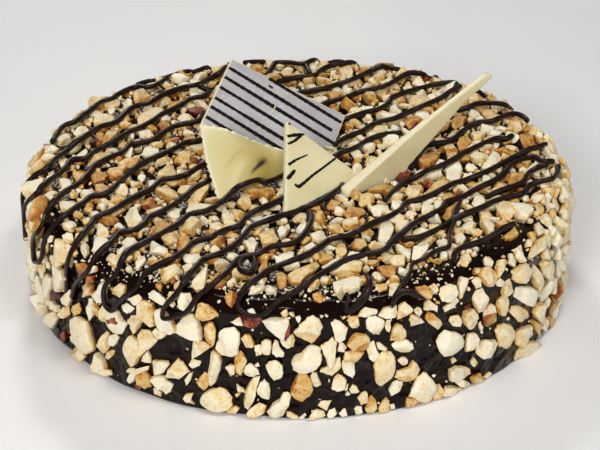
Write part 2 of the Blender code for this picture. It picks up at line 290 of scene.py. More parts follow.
# pale ivory, satin, with a little light passing inside, faint clouds 17 mm wide and a fine set grain of
# 1.4 mm; the rings round the edge are painted paler and plainer, a painted highlight along the cut edges
cloud, fine = (node(tree, "ShaderNodeTexNoise", {"Scale": scale, "Detail": detail}, {"Vector": place})
               for scale, detail in ((60.0, 4.0), (700.0, 3.0)))
# painted highlight: the rings round a plate's edge are mixed towards a paler, plainer ivory
painted_edge_highlight = (node(tree, "ShaderNodeAttribute", settings={"attribute_name": "painted_edge_highlight"}), "Fac")
face = node(tree, "ShaderNodeValToRGB", links={"Fac": cloud},
            stops=((0.3, "e4d9a2"), (0.55, "ece1b2"), (0.75, "f2e9c2")))
ivory = node(tree, "ShaderNodeMix", {7: linear("ece3bf")}, {0: painted_edge_highlight, 6: face}, {"data_type": "RGBA"})
satin = node(tree, "ShaderNodeMapRange", {"To Min": 0.3, "To Max": 0.45}, {"Value": cloud})
grain = node(tree, "ShaderNodeBump", {"Strength": 0.25, "Distance": 0.0003}, {"Height": fine})
shader = node(tree, "ShaderNodeBsdfPrincipled",
              {"IOR": 1.46, "Subsurface Weight": 0.15, "Subsurface Scale": 0.002},
              {"Base Color": (ivory, 2), "Roughness": satin, "Normal": grain})
node(tree, "ShaderNodeOutputMaterial", links={"Surface": shader})

line_mat, tree, place = material("dark_chocolate_line")
# thin dark strokes of melted chocolate, nearly black, slightly shiny, with a grain of 2 mm
fine = node(tree, "ShaderNodeTexNoise", {"Scale": 500.0, "Detail": 2.0}, {"Vector": place})
colour = node(tree, "ShaderNodeValToRGB", links={"Fac": fine}, stops=((0.3, "0c0807"), (0.7, "1a100d")))
grain = node(tree, "ShaderNodeBump", {"Strength": 0.2, "Distance": 0.0003}, {"Height": fine})
shader = node(tree, "ShaderNodeBsdfPrincipled", {"IOR": 1.33, "Roughness": 0.4},
              {"Base Color": colour, "Normal": grain})
node(tree, "ShaderNodeOutputMaterial", links={"Surface": shader})

# ----------------------------------------------------------------------------------------------------
# The striped plaque: a rectangle of white chocolate whose face has a thin grey layer and black stripes,
# printed from a transfer sheet. It leans back on the nuts with one corner sunk in them.
PLAQUE_LONG = 50
PLAQUE_WIDE = 38
PLAQUE_THICK = 2.4
plaque_stand = standing((12.6, 16.0), 42.0, 32.0)
plaque_turn = math.radians(-54.5)
plaque_long = np.array([math.cos(plaque_turn), math.sin(plaque_turn)])
plaque_short = np.array([math.sin(plaque_turn), -math.cos(plaque_turn)])
plaque_top = np.array([-15.3, 48.3])


def plaque_corners(inset):
    """The rectangle's corners, drawn in by inset on every side."""
    first = plaque_top + (plaque_long + plaque_short) * inset
    side, end = plaque_short * (PLAQUE_WIDE - 2 * inset), plaque_long * (PLAQUE_LONG - 2 * inset)
    return [first, first + side, first + side + end, first + end]


plaque = plate_piece("striped_plaque_body", plaque_corners(0.0), PLAQUE_THICK, plaque_stand)
plaque.data.materials.append(white_mat)
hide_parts("striped_plaque")
grey_face = plate_piece("plaque_grey_face", plaque_corners(0.55), 0.4, lifted(plaque_stand, 0.12), 0.5, 0.08)
grey_mat, tree, place = material("grey_transfer_print")
# grey-lilac cocoa butter, smooth and slightly shiny, with clouds 11 mm wide and pale specks of 1.1 mm
cloud, speck = (node(tree, "ShaderNodeTexNoise", {"Scale": scale, "Detail": detail}, {"Vector": place})
                for scale, detail in ((90.0, 5.0), (900.0, 2.0)))
share = node(tree, "ShaderNodeValToRGB", links={"Fac": speck}, stops=((0.66, "000000"), (0.74, "ffffff")))
grey = node(tree, "ShaderNodeValToRGB", links={"Fac": cloud},
            stops=((0.3, "b2b0b2"), (0.6, "c3c1c3"), (0.75, "cfcfce")))
speckled = node(tree, "ShaderNodeMix", {7: linear("e8e7e8")}, {0: share, 6: grey}, {"data_type": "RGBA"})
grain = node(tree, "ShaderNodeBump", {"Strength": 0.2, "Distance": 0.0003}, {"Height": cloud})
shader = node(tree, "ShaderNodeBsdfPrincipled", {"IOR": 1.46, "Roughness": 0.32},
              {"Base Color": (speckled, 2), "Normal": grain})
node(tree, "ShaderNodeOutputMaterial", links={"Surface": shader})
grey_face.data.materials.append(grey_mat)

STRIPES = (  # how far each stripe lies to the side, and how much too short it is
    (11.0, 0.0), (4.6, 2.2), (-0.9, 0.0), (-6.8, 0.3), (-13.0, 0.0), (-18.1, 0.0), (-23.9, 0.0),
)
STRIPE_INSET = 0.6  # the stripes end this far inside the plaque's edge
stripe_run = np.array([0.477, -0.879])  # the stripes' direction, along and up
stripe_side = np.array([0.879, 0.477])
stripe_lines = []
for offset, short_by in STRIPES:
    gap = stripe_side * offset - plaque_top
    reach = np.sort([[(STRIPE_INSET - gap @ way) / (stripe_run @ way),
                      (full - STRIPE_INSET - gap @ way) / (stripe_run @ way)]
                     for way, full in ((plaque_long, PLAQUE_LONG), (plaque_short, PLAQUE_WIDE))], axis=1)
    start, stop = reach[:, 0].max(), reach[:, 1].min() - short_by
    ends = stripe_side * offset + stripe_run * np.linspace(start, stop, 5)[:, None]
    stripe_lines.append((ends, (1.7, 1.85, 2.0, 1.85, 1.7)))
stripe_lines.append((((-8.4, 31.6), (-7.7, 29.8)), (1.2, 1.0)))  # a dab between two stripes
stripes = strokes("plaque_stripes", stripe_lines, lifted(plaque_stand, 0.14), 0.08)
stripes.data.materials.append(line_mat)
scratch_line = (((-15.4, 20.0), (-11.3, 22.6)), (0.45, 0.5))
scratch = strokes("plaque_scratch", [scratch_line], lifted(plaque_stand, 0.2), 0.08)
scratch.data.materials.append(white_mat)

# ----------------------------------------------------------------------------------------------------
# The lined triangle: a piece broken from a sheet of white chocolate, with four dark strokes and two dabs
# drawn by hand across its face. It leans back a little, its lowest corner pushed in among the nuts.
TRIANGLE_OUTLINE = [(-1.3, -1.5), (40.8, -1.5), (26.3, 29.6)]
TRIANGLE_THICK = 2.2
triangle_stand = standing((-4.8, -42.2), 48.5, 40.0)
triangle = plate_piece("lined_triangle_body", TRIANGLE_OUTLINE, TRIANGLE_THICK, triangle_stand)
triangle.data.materials.append(white_mat)
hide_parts("lined_triangle")
triangle_lines = strokes("triangle_lines", [
    (((22.0, 24.2), (25.5, 23.4), (28.1, 22.6), (29.4, 22.0)), (1.1, 1.5, 1.3, 0.8)),
    (((20.0, 21.5), (23.5, 21.4), (27.8, 22.2)), (0.9, 1.1, 1.2)),
    (((14.2, 14.4), (18.6, 14.8), (24.8, 14.6)), (1.3, 1.0, 0.5)),
    (((9.7, 9.9), (11.6, 10.4), (15.2, 11.5)), (1.3, 1.6, 1.3)),
    (((11.2, 6.9), (11.9, 5.4), (15.2, 5.8), (20.5, 6.8), (27.3, 7.6), (35.6, 8.7)),
     (1.3, 1.5, 1.3, 1.1, 0.9, 0.8)),
    (((26.1, 28.3), (26.9, 27.9)), (0.9, 0.7)),
], triangle_stand, 0.3)
triangle_lines.data.materials.append(line_mat)

# ----------------------------------------------------------------------------------------------------
# The long shard: a splinter of white chocolate, thick at its foot and thin at its blunt tip. It stands on
# its edge, the foot pushed in among the nuts and the tip high in the air over the right side.
SHARD_OUTLINE = [
    (0.0, -2.0), (27.0, -2.0), (29.3, 1.4), (57.0, 20.0), (68.6, 25.2), (70.6, 26.4),
    (71.0, 27.8), (69.6, 28.7), (67.4, 28.5), (42.0, 19.0), (24.9, 11.8), (0.0, 0.4),
]
SHARD_THICK = 4.6  # at the foot
shard_stand = standing((17.8, -28.9), 38.5, 90.0)
shard = plate_piece("white_shard_body", SHARD_OUTLINE, SHARD_THICK, shard_stand, 0.4, 0.5,
                    taper=((0, 1.0), (20, 0.75), (47, 0.42), (71, 0.42)))
shard.data.materials.append(white_mat)
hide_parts("white_shard")

# ----------------------------------------------------------------------------------------------------
# The curled fan: a thin sheet of white chocolate scraped while soft, so that it swells and waves, with
# painted shade in deeper gold low on the right where it bends away from the light, painted highlights
# along its left and upper edges, and one dark smear.
FAN_CORNERS = np.array([(-28.8, -35.0, 47.8), (-3.0, -13.5, 47.8), (-36.8, -2.0, 63.0), (-2.5, -11.5, 56.0)])
FAN_STEPS = 96  # points each way
FAN_SPAN = (33, 16)  # about its width and height
SMEAR_SLANT = (0.89, 0.46)  # the way the smears run, across and up
FAN_SMEARS = (  # strength, middle across and up, shift, half sizes, how sharply it ends across the stroke
    (0.7, (0.58, 0.32), (1.5, 0.4), (2.6, 1.3), 2),
    (0.9, (0.58, 0.32), (-1.2, 0.0), (3.2, 0.6), 4),
    (0.14, (0.3, 0.5), (0.0, 0.0), (4.5, 0.6), 2),
)


def bell(value, middle, width):
    """The exponential of minus the square of the distance from the middle in widths."""
    return np.exp(-((value - middle) / width) ** 2)


def fan_sheet(steps):
    """A patch between four corners: the plain blend of the corners, pushed out by a swell that is a sine
    across and a sine up, and by one full wave along that grows upward. Its foot arches up in the middle,
    its left side bulges, and the left and upper edges are ragged with fast sines. Returns also the painted
    shade, how gold each point is: a bell low on the right where the bent sheet turns from the light, paler
    towards the left and the top, with painted highlights along the left and upper edges; and the smears,
    flat-topped bells along a slant."""
    i, j = np.meshgrid(np.linspace(0, 1, steps), np.linspace(0, 1, steps), indexing="ij")
    low_left, low_right, high_left, high_right = FAN_CORNERS
    flat = ((low_left * (1 - i[..., None]) + low_right * i[..., None]) * (1 - j[..., None])
            + (high_left * (1 - i[..., None]) + high_right * i[..., None]) * j[..., None])
    out = np.cross(low_right - low_left, high_left - low_left)
    out /= np.linalg.norm(out)
    push = 4.0 * np.sin(np.pi * j) * np.sin(np.pi * i) + 1.6 * np.sin(2 * np.pi * i) * j * (1 - i)
    push = push - 0.7 * bell(i, 0.72, 0.2) * (1 - 0.55 * j)
    arch = 1.6 * np.sin(np.pi * i) * (1 - j) ** 2 + 0.8 * np.sin(np.pi * i) * j ** 2
    side = (low_left - low_right) / np.linalg.norm(low_left - low_right)
    bulge = 1.1 * bell(j, 0.54, 0.3) * (1 - i) ** 3
    bulge = bulge + 0.16 * (np.sin(61 * j) + np.sin(97 * j + 1)) * bell(i, 0, 0.03)
    arch = arch + 0.14 * (np.sin(53 * i) + np.sin(83 * i + 2)) * bell(j, 1, 0.05)
    points = flat + out * push[..., None] + np.array([0, 0, 1.0]) * arch[..., None] + side * bulge[..., None]
    # painted shade: deeper gold in a bell low on the right, where the bent sheet turns from the light, less
    # towards the left and the top
    painted_gold_shade = 0.46 + 0.5 * bell(i, 0.62, 0.26) * bell(j, 0.2, 0.55) - 0.25 * (1 - i) ** 8 - 0.25 * j ** 12
    # painted highlights: a thin pale rim along the left and the upper edge
    painted_gold_shade = painted_gold_shade - 0.7 * np.maximum(bell(i, 0, 0.018), bell(j, 1, 0.035))
    smear = np.zeros_like(painted_gold_shade)
    for strength, middle, shift, half, sharp in FAN_SMEARS:
        right, up = (i - middle[0]) * FAN_SPAN[0], (j - middle[1]) * FAN_SPAN[1]
        along = (right * SMEAR_SLANT[0] + up * SMEAR_SLANT[1] - shift[0]) / half[0]
        across = (up * SMEAR_SLANT[0] - right * SMEAR_SLANT[1] - shift[1]) / half[1]
        smear = smear + strength * np.exp(-along ** 4 - across ** sharp)
    return points, np.clip(painted_gold_shade, 0, 1), np.clip(smear, 0, 1)


fan_points, painted_gold_shade, smear = fan_sheet(FAN_STEPS)
fan = mesh_piece("white_fan_sheet", fan_points.reshape(-1, 3), grid_faces(FAN_STEPS, FAN_STEPS, False))
for key, value in (("painted_gold_shade", painted_gold_shade), ("smear", smear)):
    layer = fan.data.attributes.new(key, "FLOAT", "POINT")
    layer.data.foreach_set("value", value.astype(np.float32).ravel())
depth = fan.modifiers.new("depth", "SOLIDIFY")
depth.thickness = 0.0015
depth.offset = -1.0
fan_mat, tree, place = material("curled_white_chocolate")
# ivory turning old gold in painted shade where the sheet bends away from the light, paler in painted
# highlights along its edges, satin, clouds 14 mm wide, and a brown-black smear of dark chocolate
painted_shading, dark = ((node(tree, "ShaderNodeAttribute", settings={"attribute_name": key}), "Fac")
              for key in ("painted_gold_shade", "smear"))
cloud = node(tree, "ShaderNodeTexNoise", {"Scale": 70.0, "Detail": 4.0}, {"Vector": place})
vary = node(tree, "ShaderNodeMath", {1: 0.25, 2: -0.12}, {0: cloud}, {"operation": "MULTIPLY_ADD"})
shade = node(tree, "ShaderNodeMath", links={0: painted_shading, 1: vary}, settings={"operation": "ADD"})
ivory = node(tree, "ShaderNodeValToRGB", links={"Fac": shade},
             stops=((0.05, "f0e8c8"), (0.3, "e0d4a0"), (0.6, "cdbd7e"), (0.9, "b7a257")))
smeared = node(tree, "ShaderNodeMix", {7: linear("2c1c14")}, {0: dark, 6: ivory}, {"data_type": "RGBA"})
grain = node(tree, "ShaderNodeBump", {"Strength": 0.25, "Distance": 0.0004}, {"Height": cloud})
shader = node(tree, "ShaderNodeBsdfPrincipled", {"IOR": 1.46, "Roughness": 0.36},
              {"Base Color": (smeared, 2), "Normal": grain})
node(tree, "ShaderNodeOutputMaterial", links={"Surface": shader})
fan.data.materials.append(fan_mat)
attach(fan, "root")
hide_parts("white_fan")

# ----------------------------------------------------------------------------------------------------
# The chopped nuts: roasted nuts broken with a knife, with flat broken faces, pressed by hand on the wet
# glaze, dense on the top, large and apart on the side. The outlines of the large ones are typed in as they
# were read, and the rest are scattered between them.
rng = np.random.default_rng(7)

SIDE_NUTS = (  # roast (0 white, 1 dark red), raised by, corners: degrees round from the front, height
    (0.75, 0, -48.8, 41.2, -46.5, 43, -45.4, 42.6, -45.8, 40.5, -47.5, 37, -48.4, 38.5),
    (0.78, 0, -45.5, 38.8, -44, 40, -43, 39.5, -43.1, 37.5, -44.8, 35.5, -46, 35.3),
    (0.45, 0, -47, 33, -45.5, 35.5, -43.6, 35.2, -43.5, 32.5, -45.5, 30.5, -47, 28.5),
    (0.05, 0, -44.4, 31.5, -42, 35.5, -41, 39, -40, 39.7, -39.4, 37.5, -39.6, 32.2, -42.8, 29.2),
    (0.35, 0, -37.9, 38.6, -36.6, 41.6, -34.8, 42, -34.7, 39.6, -35.9, 36.3, -38.2, 36.5),
    (0.15, 0, -34.6, 36.6, -31.6, 40.5, -30.9, 39.2, -31.2, 36.5, -33, 35, -34.5, 35.3),
    (0.1, 0, -35.8, 33.5, -34.6, 35, -32, 34.8, -33, 32.3, -34.6, 31, -35.5, 31.8),
    (0.42, 0, -31.6, 36.5, -30.5, 38.9, -28.2, 38.8, -27.7, 35, -27.9, 30.2, -28.6, 29.2, -31.4, 32.5),
    (0.05, 0, -27.6, 36.5, -26.8, 37.4, -25.6, 36.5, -24, 33, -24, 29, -25, 27.4, -27, 28.8, -27.8, 31),
    (0.65, -0.5, -25, 34, -24.2, 34.5, -23.4, 31, -23.5, 28.8, -24.6, 28.5),
    (0.1, 0, -29.7, 42, -28.5, 43.8, -27, 43, -25.5, 41.5, -25.5, 39, -27, 39.3, -29.4, 40.5),
    (0.4, 0, -25.7, 43.5, -24.8, 45, -23.5, 44.8, -23.4, 43, -24.5, 41.2),
    (0.1, 0, -22.8, 33.5, -21.4, 38.3, -20.7, 38, -19, 35.5, -18.4, 32.5, -18.2, 28.4, -21, 28.6, -23.1, 30),
    (0.52, 0, -19.3, 42, -18.5, 43.3, -17, 42.7, -15.2, 40.5, -15, 39.5, -16, 37.7, -17.8, 36.2, -19, 37),
    (0.52, 0, -17.7, 34, -16.9, 35.7, -16, 35.8, -15.4, 33.5, -15.6, 30, -16.2, 27, -17.5, 29, -17.9, 31),
    (0.25, 0, -20.3, 25, -19.8, 28.3, -17.6, 28, -16.5, 26.5, -18.5, 23, -20.5, 20, -20.6, 22),
    (0.3, 0, -34.2, 29, -33.7, 31, -32, 32.2, -30.7, 31, -31.5, 28, -32.8, 24.8, -33.5, 23.4, -34.2, 25.5),
    (0.3, 0, -32, 24.5, -31.3, 26.5, -29.5, 27, -28.6, 25.5, -27.6, 24.5, -28.7, 21.5, -29.4, 20, -30.9, 21),
    (0.25, 0, -29, 26.5, -28, 28.8, -26.3, 28.5, -25.4, 27.8, -26.6, 25.3, -28.2, 24.8),
    (0.32, 0, -35.5, 17, -34.6, 21.5, -33.8, 23.2, -32.5, 22, -31.4, 20.7, -30.4, 19.2, -32, 15, -33, 12,
     -34.6, 9.3, -35.4, 11),
    (0.2, 0, -31.3, 16, -30, 18.8, -29.4, 16.5, -29.5, 14, -32, 13.2),
    (0.15, 0, -29.3, 14.5, -28.5, 16, -25.5, 17, -25.4, 15.5, -26.3, 13, -26.8, 11.5, -28.8, 10),
    (0.3, 0, -26.3, 10.5, -25.5, 14, -23.4, 19, -22.5, 18, -21.2, 14.6, -23, 11.8, -26, 9.8),
    (0.15, 0, -22.2, 11, -21.2, 14, -20.4, 15, -20.9, 11.5, -21.8, 9),
    (0.2, 0, -21.2, 17.5, -20.6, 20, -18.6, 19.8, -19, 18, -20.5, 16.2),
    (0.15, 0, -29.4, 8.2, -28.5, 9.8, -26.5, 10.4, -26, 8.5, -24.7, 7.6, -25.3, 4.8, -26.5, 2.8, -28, 5),
    (0.2, 0, -29.5, 3.5, -28.3, 4, -27.4, 3.2, -27.8, 1, -29.2, 1.2),
    (0.2, 0, -22.7, 3.5, -22, 5.5, -20.5, 6.2, -21, 3.5, -20.3, 1.6, -22, 1.6),
    (0.18, 0, -35.2, 3.5, -34.3, 7, -33, 9.8, -30, 13, -30.2, 11.3, -32.5, 8, -33.3, 5, -34.5, 2.8),
    (0.55, 0, -32.8, 9, -31, 10, -29.5, 8, -29.4, 5, -31.5, 2, -33, 4),
    (0.85, 0, -33.8, 2.5, -33, 3.8, -32.2, 3, -32.6, 0.8, -33.6, 0.8),
    (0.2, 0, -36, 6.5, -35, 8.5, -33.6, 9.3, -34.2, 7.4, -35.8, 5.8),
    (0.3, 0, -42.3, 24.5, -41.9, 27.5, -41, 29.8, -39.4, 30.5, -39.7, 27, -40.2, 23.6, -41.8, 22.5),
    (0.12, 0, -45.8, 24, -45.5, 29, -44.5, 30.2, -44, 27, -44.3, 23, -45.5, 20.3),
    (0.5, -0.4, -44.2, 28, -43.7, 28.5, -42.6, 26, -42.7, 24.2, -44, 22.7),
    (0.15, 0, -40, 29, -38.8, 30.5, -36.8, 30, -36.3, 27.8, -34.6, 26.5, -35.5, 24, -36.5, 21, -38.5, 20.6,
     -40.2, 22.4, -39.7, 25),
    (0.82, 1.2, -39.5, 26, -38.5, 27, -37.2, 28.6, -36.4, 26.7, -37, 24.8, -38.3, 23, -39.2, 24.5),
    (0.08, 0, -40.2, 16.8, -39.6, 18.8, -38, 20.2, -37.2, 19.5, -37.8, 16.5, -38.8, 14.6, -40, 14.6),
    (0.35, 0, -42.2, 14.5, -41.5, 17.5, -40.6, 19.8, -40.1, 18.8, -40.4, 16, -40.1, 13, -41, 10.5, -42.5, 9,
     -43, 11, -44, 11),
    (0.35, 0, -41.8, 7.5, -41, 10.5, -39.5, 12.8, -38.6, 13, -39, 11, -40.5, 8.3),
    (0.25, 0, -51.8, 16, -50.2, 18.5, -48.5, 19.6, -46.3, 19.5, -45.3, 16, -44.4, 11.5, -44.5, 8.5, -46.5, 6,
     -49, 3.8, -51, 5.5, -51.5, 11),
    (0.2, 0, -44.8, 3, -44.1, 6, -43.6, 8.8, -41.9, 7.5, -41, 4.5, -41, 1, -42, 0.4, -44.8, 0.4),
    (0.12, 1, -43, 2.3, -41, 3.8, -39.7, 4.5, -39.4, 2.8, -41, 1.5, -42.8, 1.5),
    (0.55, 0, -19.6, 12, -18.8, 14, -18, 16, -17, 15, -16.9, 11.5, -18.2, 8.3, -19.2, 10),
    (0.25, 0, -18.9, 5, -18.2, 7.5, -17, 9.5, -15, 11, -13.5, 10, -12.6, 7.5, -12.5, 4.5, -13.6, 2.3, -15.5,
     1, -17.5, 1.2, -18.8, 2.5),
    (0.2, 0, -17.3, 15.5, -16.9, 20, -16.6, 24.5, -16.1, 25.3, -14.8, 24, -14.5, 21, -15, 17, -16, 12, -16.6,
     11.5),
    (0.04, 0.3, -15.8, 26, -15, 30, -14.9, 33, -14, 34.8, -12, 35.3, -11, 33.5, -10.9, 30, -11.3, 25.5,
     -12.5, 24, -14.5, 24),
    (0.1, 0, -12.7, 36.8, -11.8, 38.2, -11, 39.5, -10.5, 37.5, -10.2, 36, -11.3, 36),
    (0.88, 0, -11.2, 40.8, -9.5, 40.5, -7, 40.8, -6.6, 39.5, -7.2, 37.5, -8.5, 35.5, -9.8, 36.5, -10.4,
     38.8),
    (0.04, 0, -6.8, 38.8, -5.8, 40, -4, 40.2, -2.2, 40.7, -1.6, 38.5, -2.2, 34.5, -2.8, 32, -4.5, 34.5, -6,
     36),
    (0.88, 0.4, -2.2, 39.8, -1.6, 39.5, -1.4, 37, -1.7, 33.5, -2.3, 31.6, -3, 33.3, -2.1, 36),
    (0.42, 0, -10.7, 31, -10, 33, -9.1, 33, -8.2, 30, -8.2, 28.5, -9.8, 27.8),
    (0.15, 0, -6.9, 30.5, -6, 31.8, -5.1, 31, -5, 28.5, -5.4, 25.5, -6.6, 25.2, -7.1, 27.5),
    (0.22, -0.3, -8.3, 28.5, -7.2, 29, -6.6, 27, -7, 25, -8, 24.4),
    (0.25, 0, -4.8, 29, -4.3, 31.5, -3.8, 31, -3.5, 28.8, -2.7, 27, -2.8, 25.3, -4.2, 25, -4.9, 26.5),
    (0.2, -0.3, -3.3, 31.5, -2.5, 33, -1, 33.4, -0.7, 31, -1, 28.6, -2.2, 28.4, -3, 30),
    (0.25, 0, -1, 35.2, 0.2, 38, 1.5, 41.2, 2.6, 42, 3.7, 40.5, 4.3, 37, 4, 34.5, 3, 31.5, 2.4, 30.3, 1, 32,
     -0.3, 33.5),
    (0.14, 0, -1.2, 22.5, -0.4, 24.8, 0.8, 25.8, 1.8, 28.5, 3, 29.7, 4.2, 28, 4.4, 24, 3.3, 21, 1.5, 19.2,
     0.2, 18.2, -0.8, 20),
    (0.58, 0, -1.4, 12, -0.6, 16, 0.1, 18.3, 1.5, 18.5, 2.5, 16, 2.6, 13, 2, 9.5, 0.8, 7.4, -0.6, 8.3, -1.3,
     10),
    (0.25, 0, 2.2, 17.5, 2.6, 19.3, 3.4, 19, 4.3, 14, 3.5, 12.8, 2.6, 13.5),
    (0.15, 0, -5.9, 3, -5, 6, -3.5, 8.3, -2.8, 11, -2, 11.4, -1.3, 9.8, -1.8, 6, -3, 1.5, -4, 0.5, -5.4, 1),
    (0.15, 0, -6.2, 21.5, -5.5, 23, -4.2, 23.6, -3, 22, -2.8, 19, -3.3, 16.8, -4.6, 15.7, -5.6, 18.5),
    (0.15, 0, -7.9, 11.5, -7.2, 14.5, -6.4, 16, -5.6, 14.5, -5.3, 11, -5.5, 8.2, -6.8, 8.3, -7.7, 9.5),
    (0.32, 0, -10.3, 5, -10, 10, -9, 14, -8.2, 16.3, -7, 17.3, -7.3, 15, -8.2, 10, -8.9, 5.5, -9.5, 2.5,
     -10.2, 3.5),
    (0.3, 0.3, -9.8, 2.2, -8.9, 4.5, -7.5, 6.5, -6.1, 5.5, -6.5, 2.5, -8, 0.8, -9.5, 0.5),
    (0.3, 0, -14, 0.5, -13.2, 2.5, -12, 4, -11.4, 3, -12, 1, -13.2, 0.3),
    (0.42, 0, -12.1, 22, -11.6, 25, -10.8, 26.5, -10, 25, -9.6, 22.5, -10.4, 19.5, -10.7, 17, -11.6, 17.5),
    (0.15, 0.2, -10.4, 18.5, -9.8, 21, -9, 22, -7.6, 20, -7.3, 17.8, -8.5, 16.5, -10, 17),
    (0.28, 0, -13.9, 19, -13, 20.5, -11.9, 20.3, -12, 17, -13, 15.5),
    (0.05, 0, -11.9, 12.5, -11.5, 11.5, -10.5, 11, -10.3, 9.4, -11.2, 9.8, -11.8, 11),
    (0.05, 0, -8.2, 21, -7.5, 22, -7.3, 21, -7.9, 20.7),
    (0.4, 0, -12, 8.8, -11.5, 9.5, -11.1, 8.8, -11.6, 7.9),
    (0.3, 0, -2.3, 3, -1.5, 3, -0.2, 1.5, 0, 0.2, -1, 0.2, -2.2, 1),
    (0.05, 0, 0, 0.5, 1.2, 2.4, 1.5, 1.6, 0.6, 0.2),
    (0.25, 0, 3.6, 5.5, 4.2, 7.2, 6.2, 7.4, 5.7, 5, 5.3, 3, 4.3, 4.3),
    (0.25, 0, 1.9, 0.9, 2.6, 3.2, 3.3, 4, 4.6, 3.2, 5.1, 1, 4.3, 0.3, 2.8, 0.3),
    (0.15, 0, 5.4, 1.5, 5.8, 3.5, 6.8, 4.5, 7.3, 2, 6.6, 0.4, 5.8, 0.4),
    (0.05, 0, 7.5, 2, 8.2, 4, 8.9, 3.5, 9.3, 1, 8.2, 0.5),
    (0.15, 0, 6, 37.8, 6.7, 39.2, 7.8, 38.3, 9, 35.7, 8.5, 31.5, 7.6, 30.3, 6.7, 31.5, 6.4, 34.5),
    (0.3, -0.3, 6.6, 26, 7.8, 26, 7.9, 20, 6.3, 17.7, 4, 19.5, 4.2, 20.5, 5.6, 21.5),
    (0.2, 0.4, 4, 29.8, 5.5, 31.2, 6.3, 32.5, 7.2, 30.5, 6.8, 27, 6.2, 22, 5.5, 20.5, 4.9, 25),
    (0.2, 0, 7.2, 27, 7.7, 30, 8.3, 29.7, 9.1, 27.5, 8.4, 26.4),
    (0.2, 0, 6.1, 12.5, 6.6, 16.5, 7.3, 18, 8.6, 16.5, 9, 15, 8.7, 12, 7.5, 11.1),
    (0.1, 0, 8.1, 20.5, 8.3, 23, 10.6, 23, 10.5, 18, 10.1, 16, 8.5, 18),
    (0.45, 0.4, 8.2, 24.5, 8.6, 26.5, 10.2, 27, 12.2, 25.8, 11.3, 23, 10.3, 21.5, 8.4, 22.5),
    (0.5, 0.4, 8.9, 29.3, 9.9, 32.7, 10.7, 33.7, 12.5, 32.5, 13.2, 31, 13, 27.5, 12, 25.5, 10.4, 26),
    (0.36, 0, 8.8, 38.5, 9.6, 39.8, 11, 40, 11.3, 36.5, 11, 34.5, 9.8, 35.7),
    (0.2, 0, 11, 40.5, 11.5, 42, 12.5, 43, 14.8, 41.5, 14.6, 40, 12.5, 39.6),
    (0.08, 0, 12.4, 38, 12.9, 39.5, 14.3, 39.3, 16, 37, 15.8, 34.5, 15.1, 31.5, 14, 32.2, 12.5, 35),
    (0.2, 0, 14.8, 39.3, 16, 42, 17.5, 42.3, 18.5, 42.2, 18.6, 39, 18.3, 37.2, 16.2, 37.6),
    (0.3, 0, 18.8, 39.5, 18.9, 41.5, 20.3, 42.9, 21.5, 40, 21.6, 38.8, 20.3, 37, 18.6, 36.2),
    (0.15, 0, 16.1, 34.5, 16.6, 36.4, 17.4, 36.3, 17.3, 33.5, 17, 32, 16.4, 33),
    (0.42, 0, 17.4, 30.5, 17.8, 33.5, 18.6, 35, 19.3, 34.2, 20.3, 31.5, 20.4, 29, 19.6, 27.7, 17.4, 28.3),
    (0.08, 0, 17.5, 27, 18.5, 28, 20.3, 28, 21.8, 26, 22, 24, 21.3, 22.4, 19.5, 23, 18.2, 24.7),
    (0.1, 0, 12.8, 26, 13, 28.8, 14.2, 29.2, 14.6, 26, 15.2, 24, 14.6, 22.2, 14, 21.5, 13.2, 23),
    (0.15, 0, 14.6, 28.5, 15.3, 28.3, 16.8, 25.5, 16.4, 24.9, 15, 25.5),
    (0.36, 0.2, 14.1, 19.5, 14.5, 22.5, 16, 24.9, 17.5, 24, 18.2, 22, 18.3, 18, 18, 15, 17, 13, 15.9, 11,
     14.7, 12.5, 14.2, 16),
    (0.2, 0, 19, 19.8, 19.8, 21, 20.7, 20.5, 21.2, 19, 20.6, 17, 19.8, 17.8),
    (0.32, 0, 18.6, 13.5, 19, 15.8, 21.5, 16.5, 22.3, 18.7, 23.2, 17, 23.7, 14.7, 23, 12, 21.8, 10.5, 20.5,
     10.8, 19.3, 12.4),
    (0.1, 0, 17.4, 8.8, 18, 11, 19, 12, 20.3, 10.8, 20.2, 9, 19.3, 7.5, 17.8, 6.4),
    (0.18, 0.3, 21.4, 5, 22, 9, 23, 12, 24.3, 13.5, 25, 12.5, 26.2, 9.5, 27.3, 6, 27.2, 3.5, 26.2, 0.6, 25,
     0.4, 23.8, 1.5, 22.5, 4),
    (0.58, 0, 20.8, 1, 21.2, 4, 22.5, 3.5, 24, 1.5, 24.5, 0.4, 23, 0.2, 21.8, 0.3),
    (0.45, 0, 27, 3, 27.5, 6.3, 28.3, 6, 29.2, 3, 28.7, 0.3, 27.7, 0.2, 26.8, 0.5),
    (0.2, 0, 29, 1.5, 29.5, 4.2, 31, 3.5, 33, 1.5, 34.2, 0.3, 33.5, 0.2, 31, 0.2),
    (0.08, 0.4, 26.6, 24.5, 27, 26.8, 28.3, 28.2, 29.8, 27, 31.2, 26, 32.5, 24, 33.1, 20.8, 32.4, 18, 30.5,
     17, 28.8, 17.3, 27.6, 19.5, 27, 22.5),
    (0.15, 0, 27.4, 42.5, 28, 44.6, 30, 45, 31.4, 44, 31.7, 41.5, 31, 39.5, 29.5, 38.3, 27.9, 39.8),
    (0.2, 0, 28.2, 36.5, 29.5, 37.5, 31.2, 39, 31.9, 37, 30.5, 35.8, 28.5, 35.2),
    (0.2, 0, 31.7, 38.3, 31.9, 41, 32, 44, 33, 46, 34.4, 45, 33.8, 42, 32.4, 38.8),
    (0.25, 0, 23.9, 38, 24.2, 41, 25.2, 41.7, 25.9, 40, 26.8, 38.5, 26.7, 36, 25.8, 37.2),
    (0.25, 0, 21.9, 38.5, 22.8, 39.5, 23.5, 38.5, 23.6, 36, 23.3, 35.1, 22.3, 37),
    (0.2, 0, 21, 35, 21.2, 37.5, 22.3, 36.5, 23.3, 34.8, 24.3, 32.6, 21.4, 32.3),
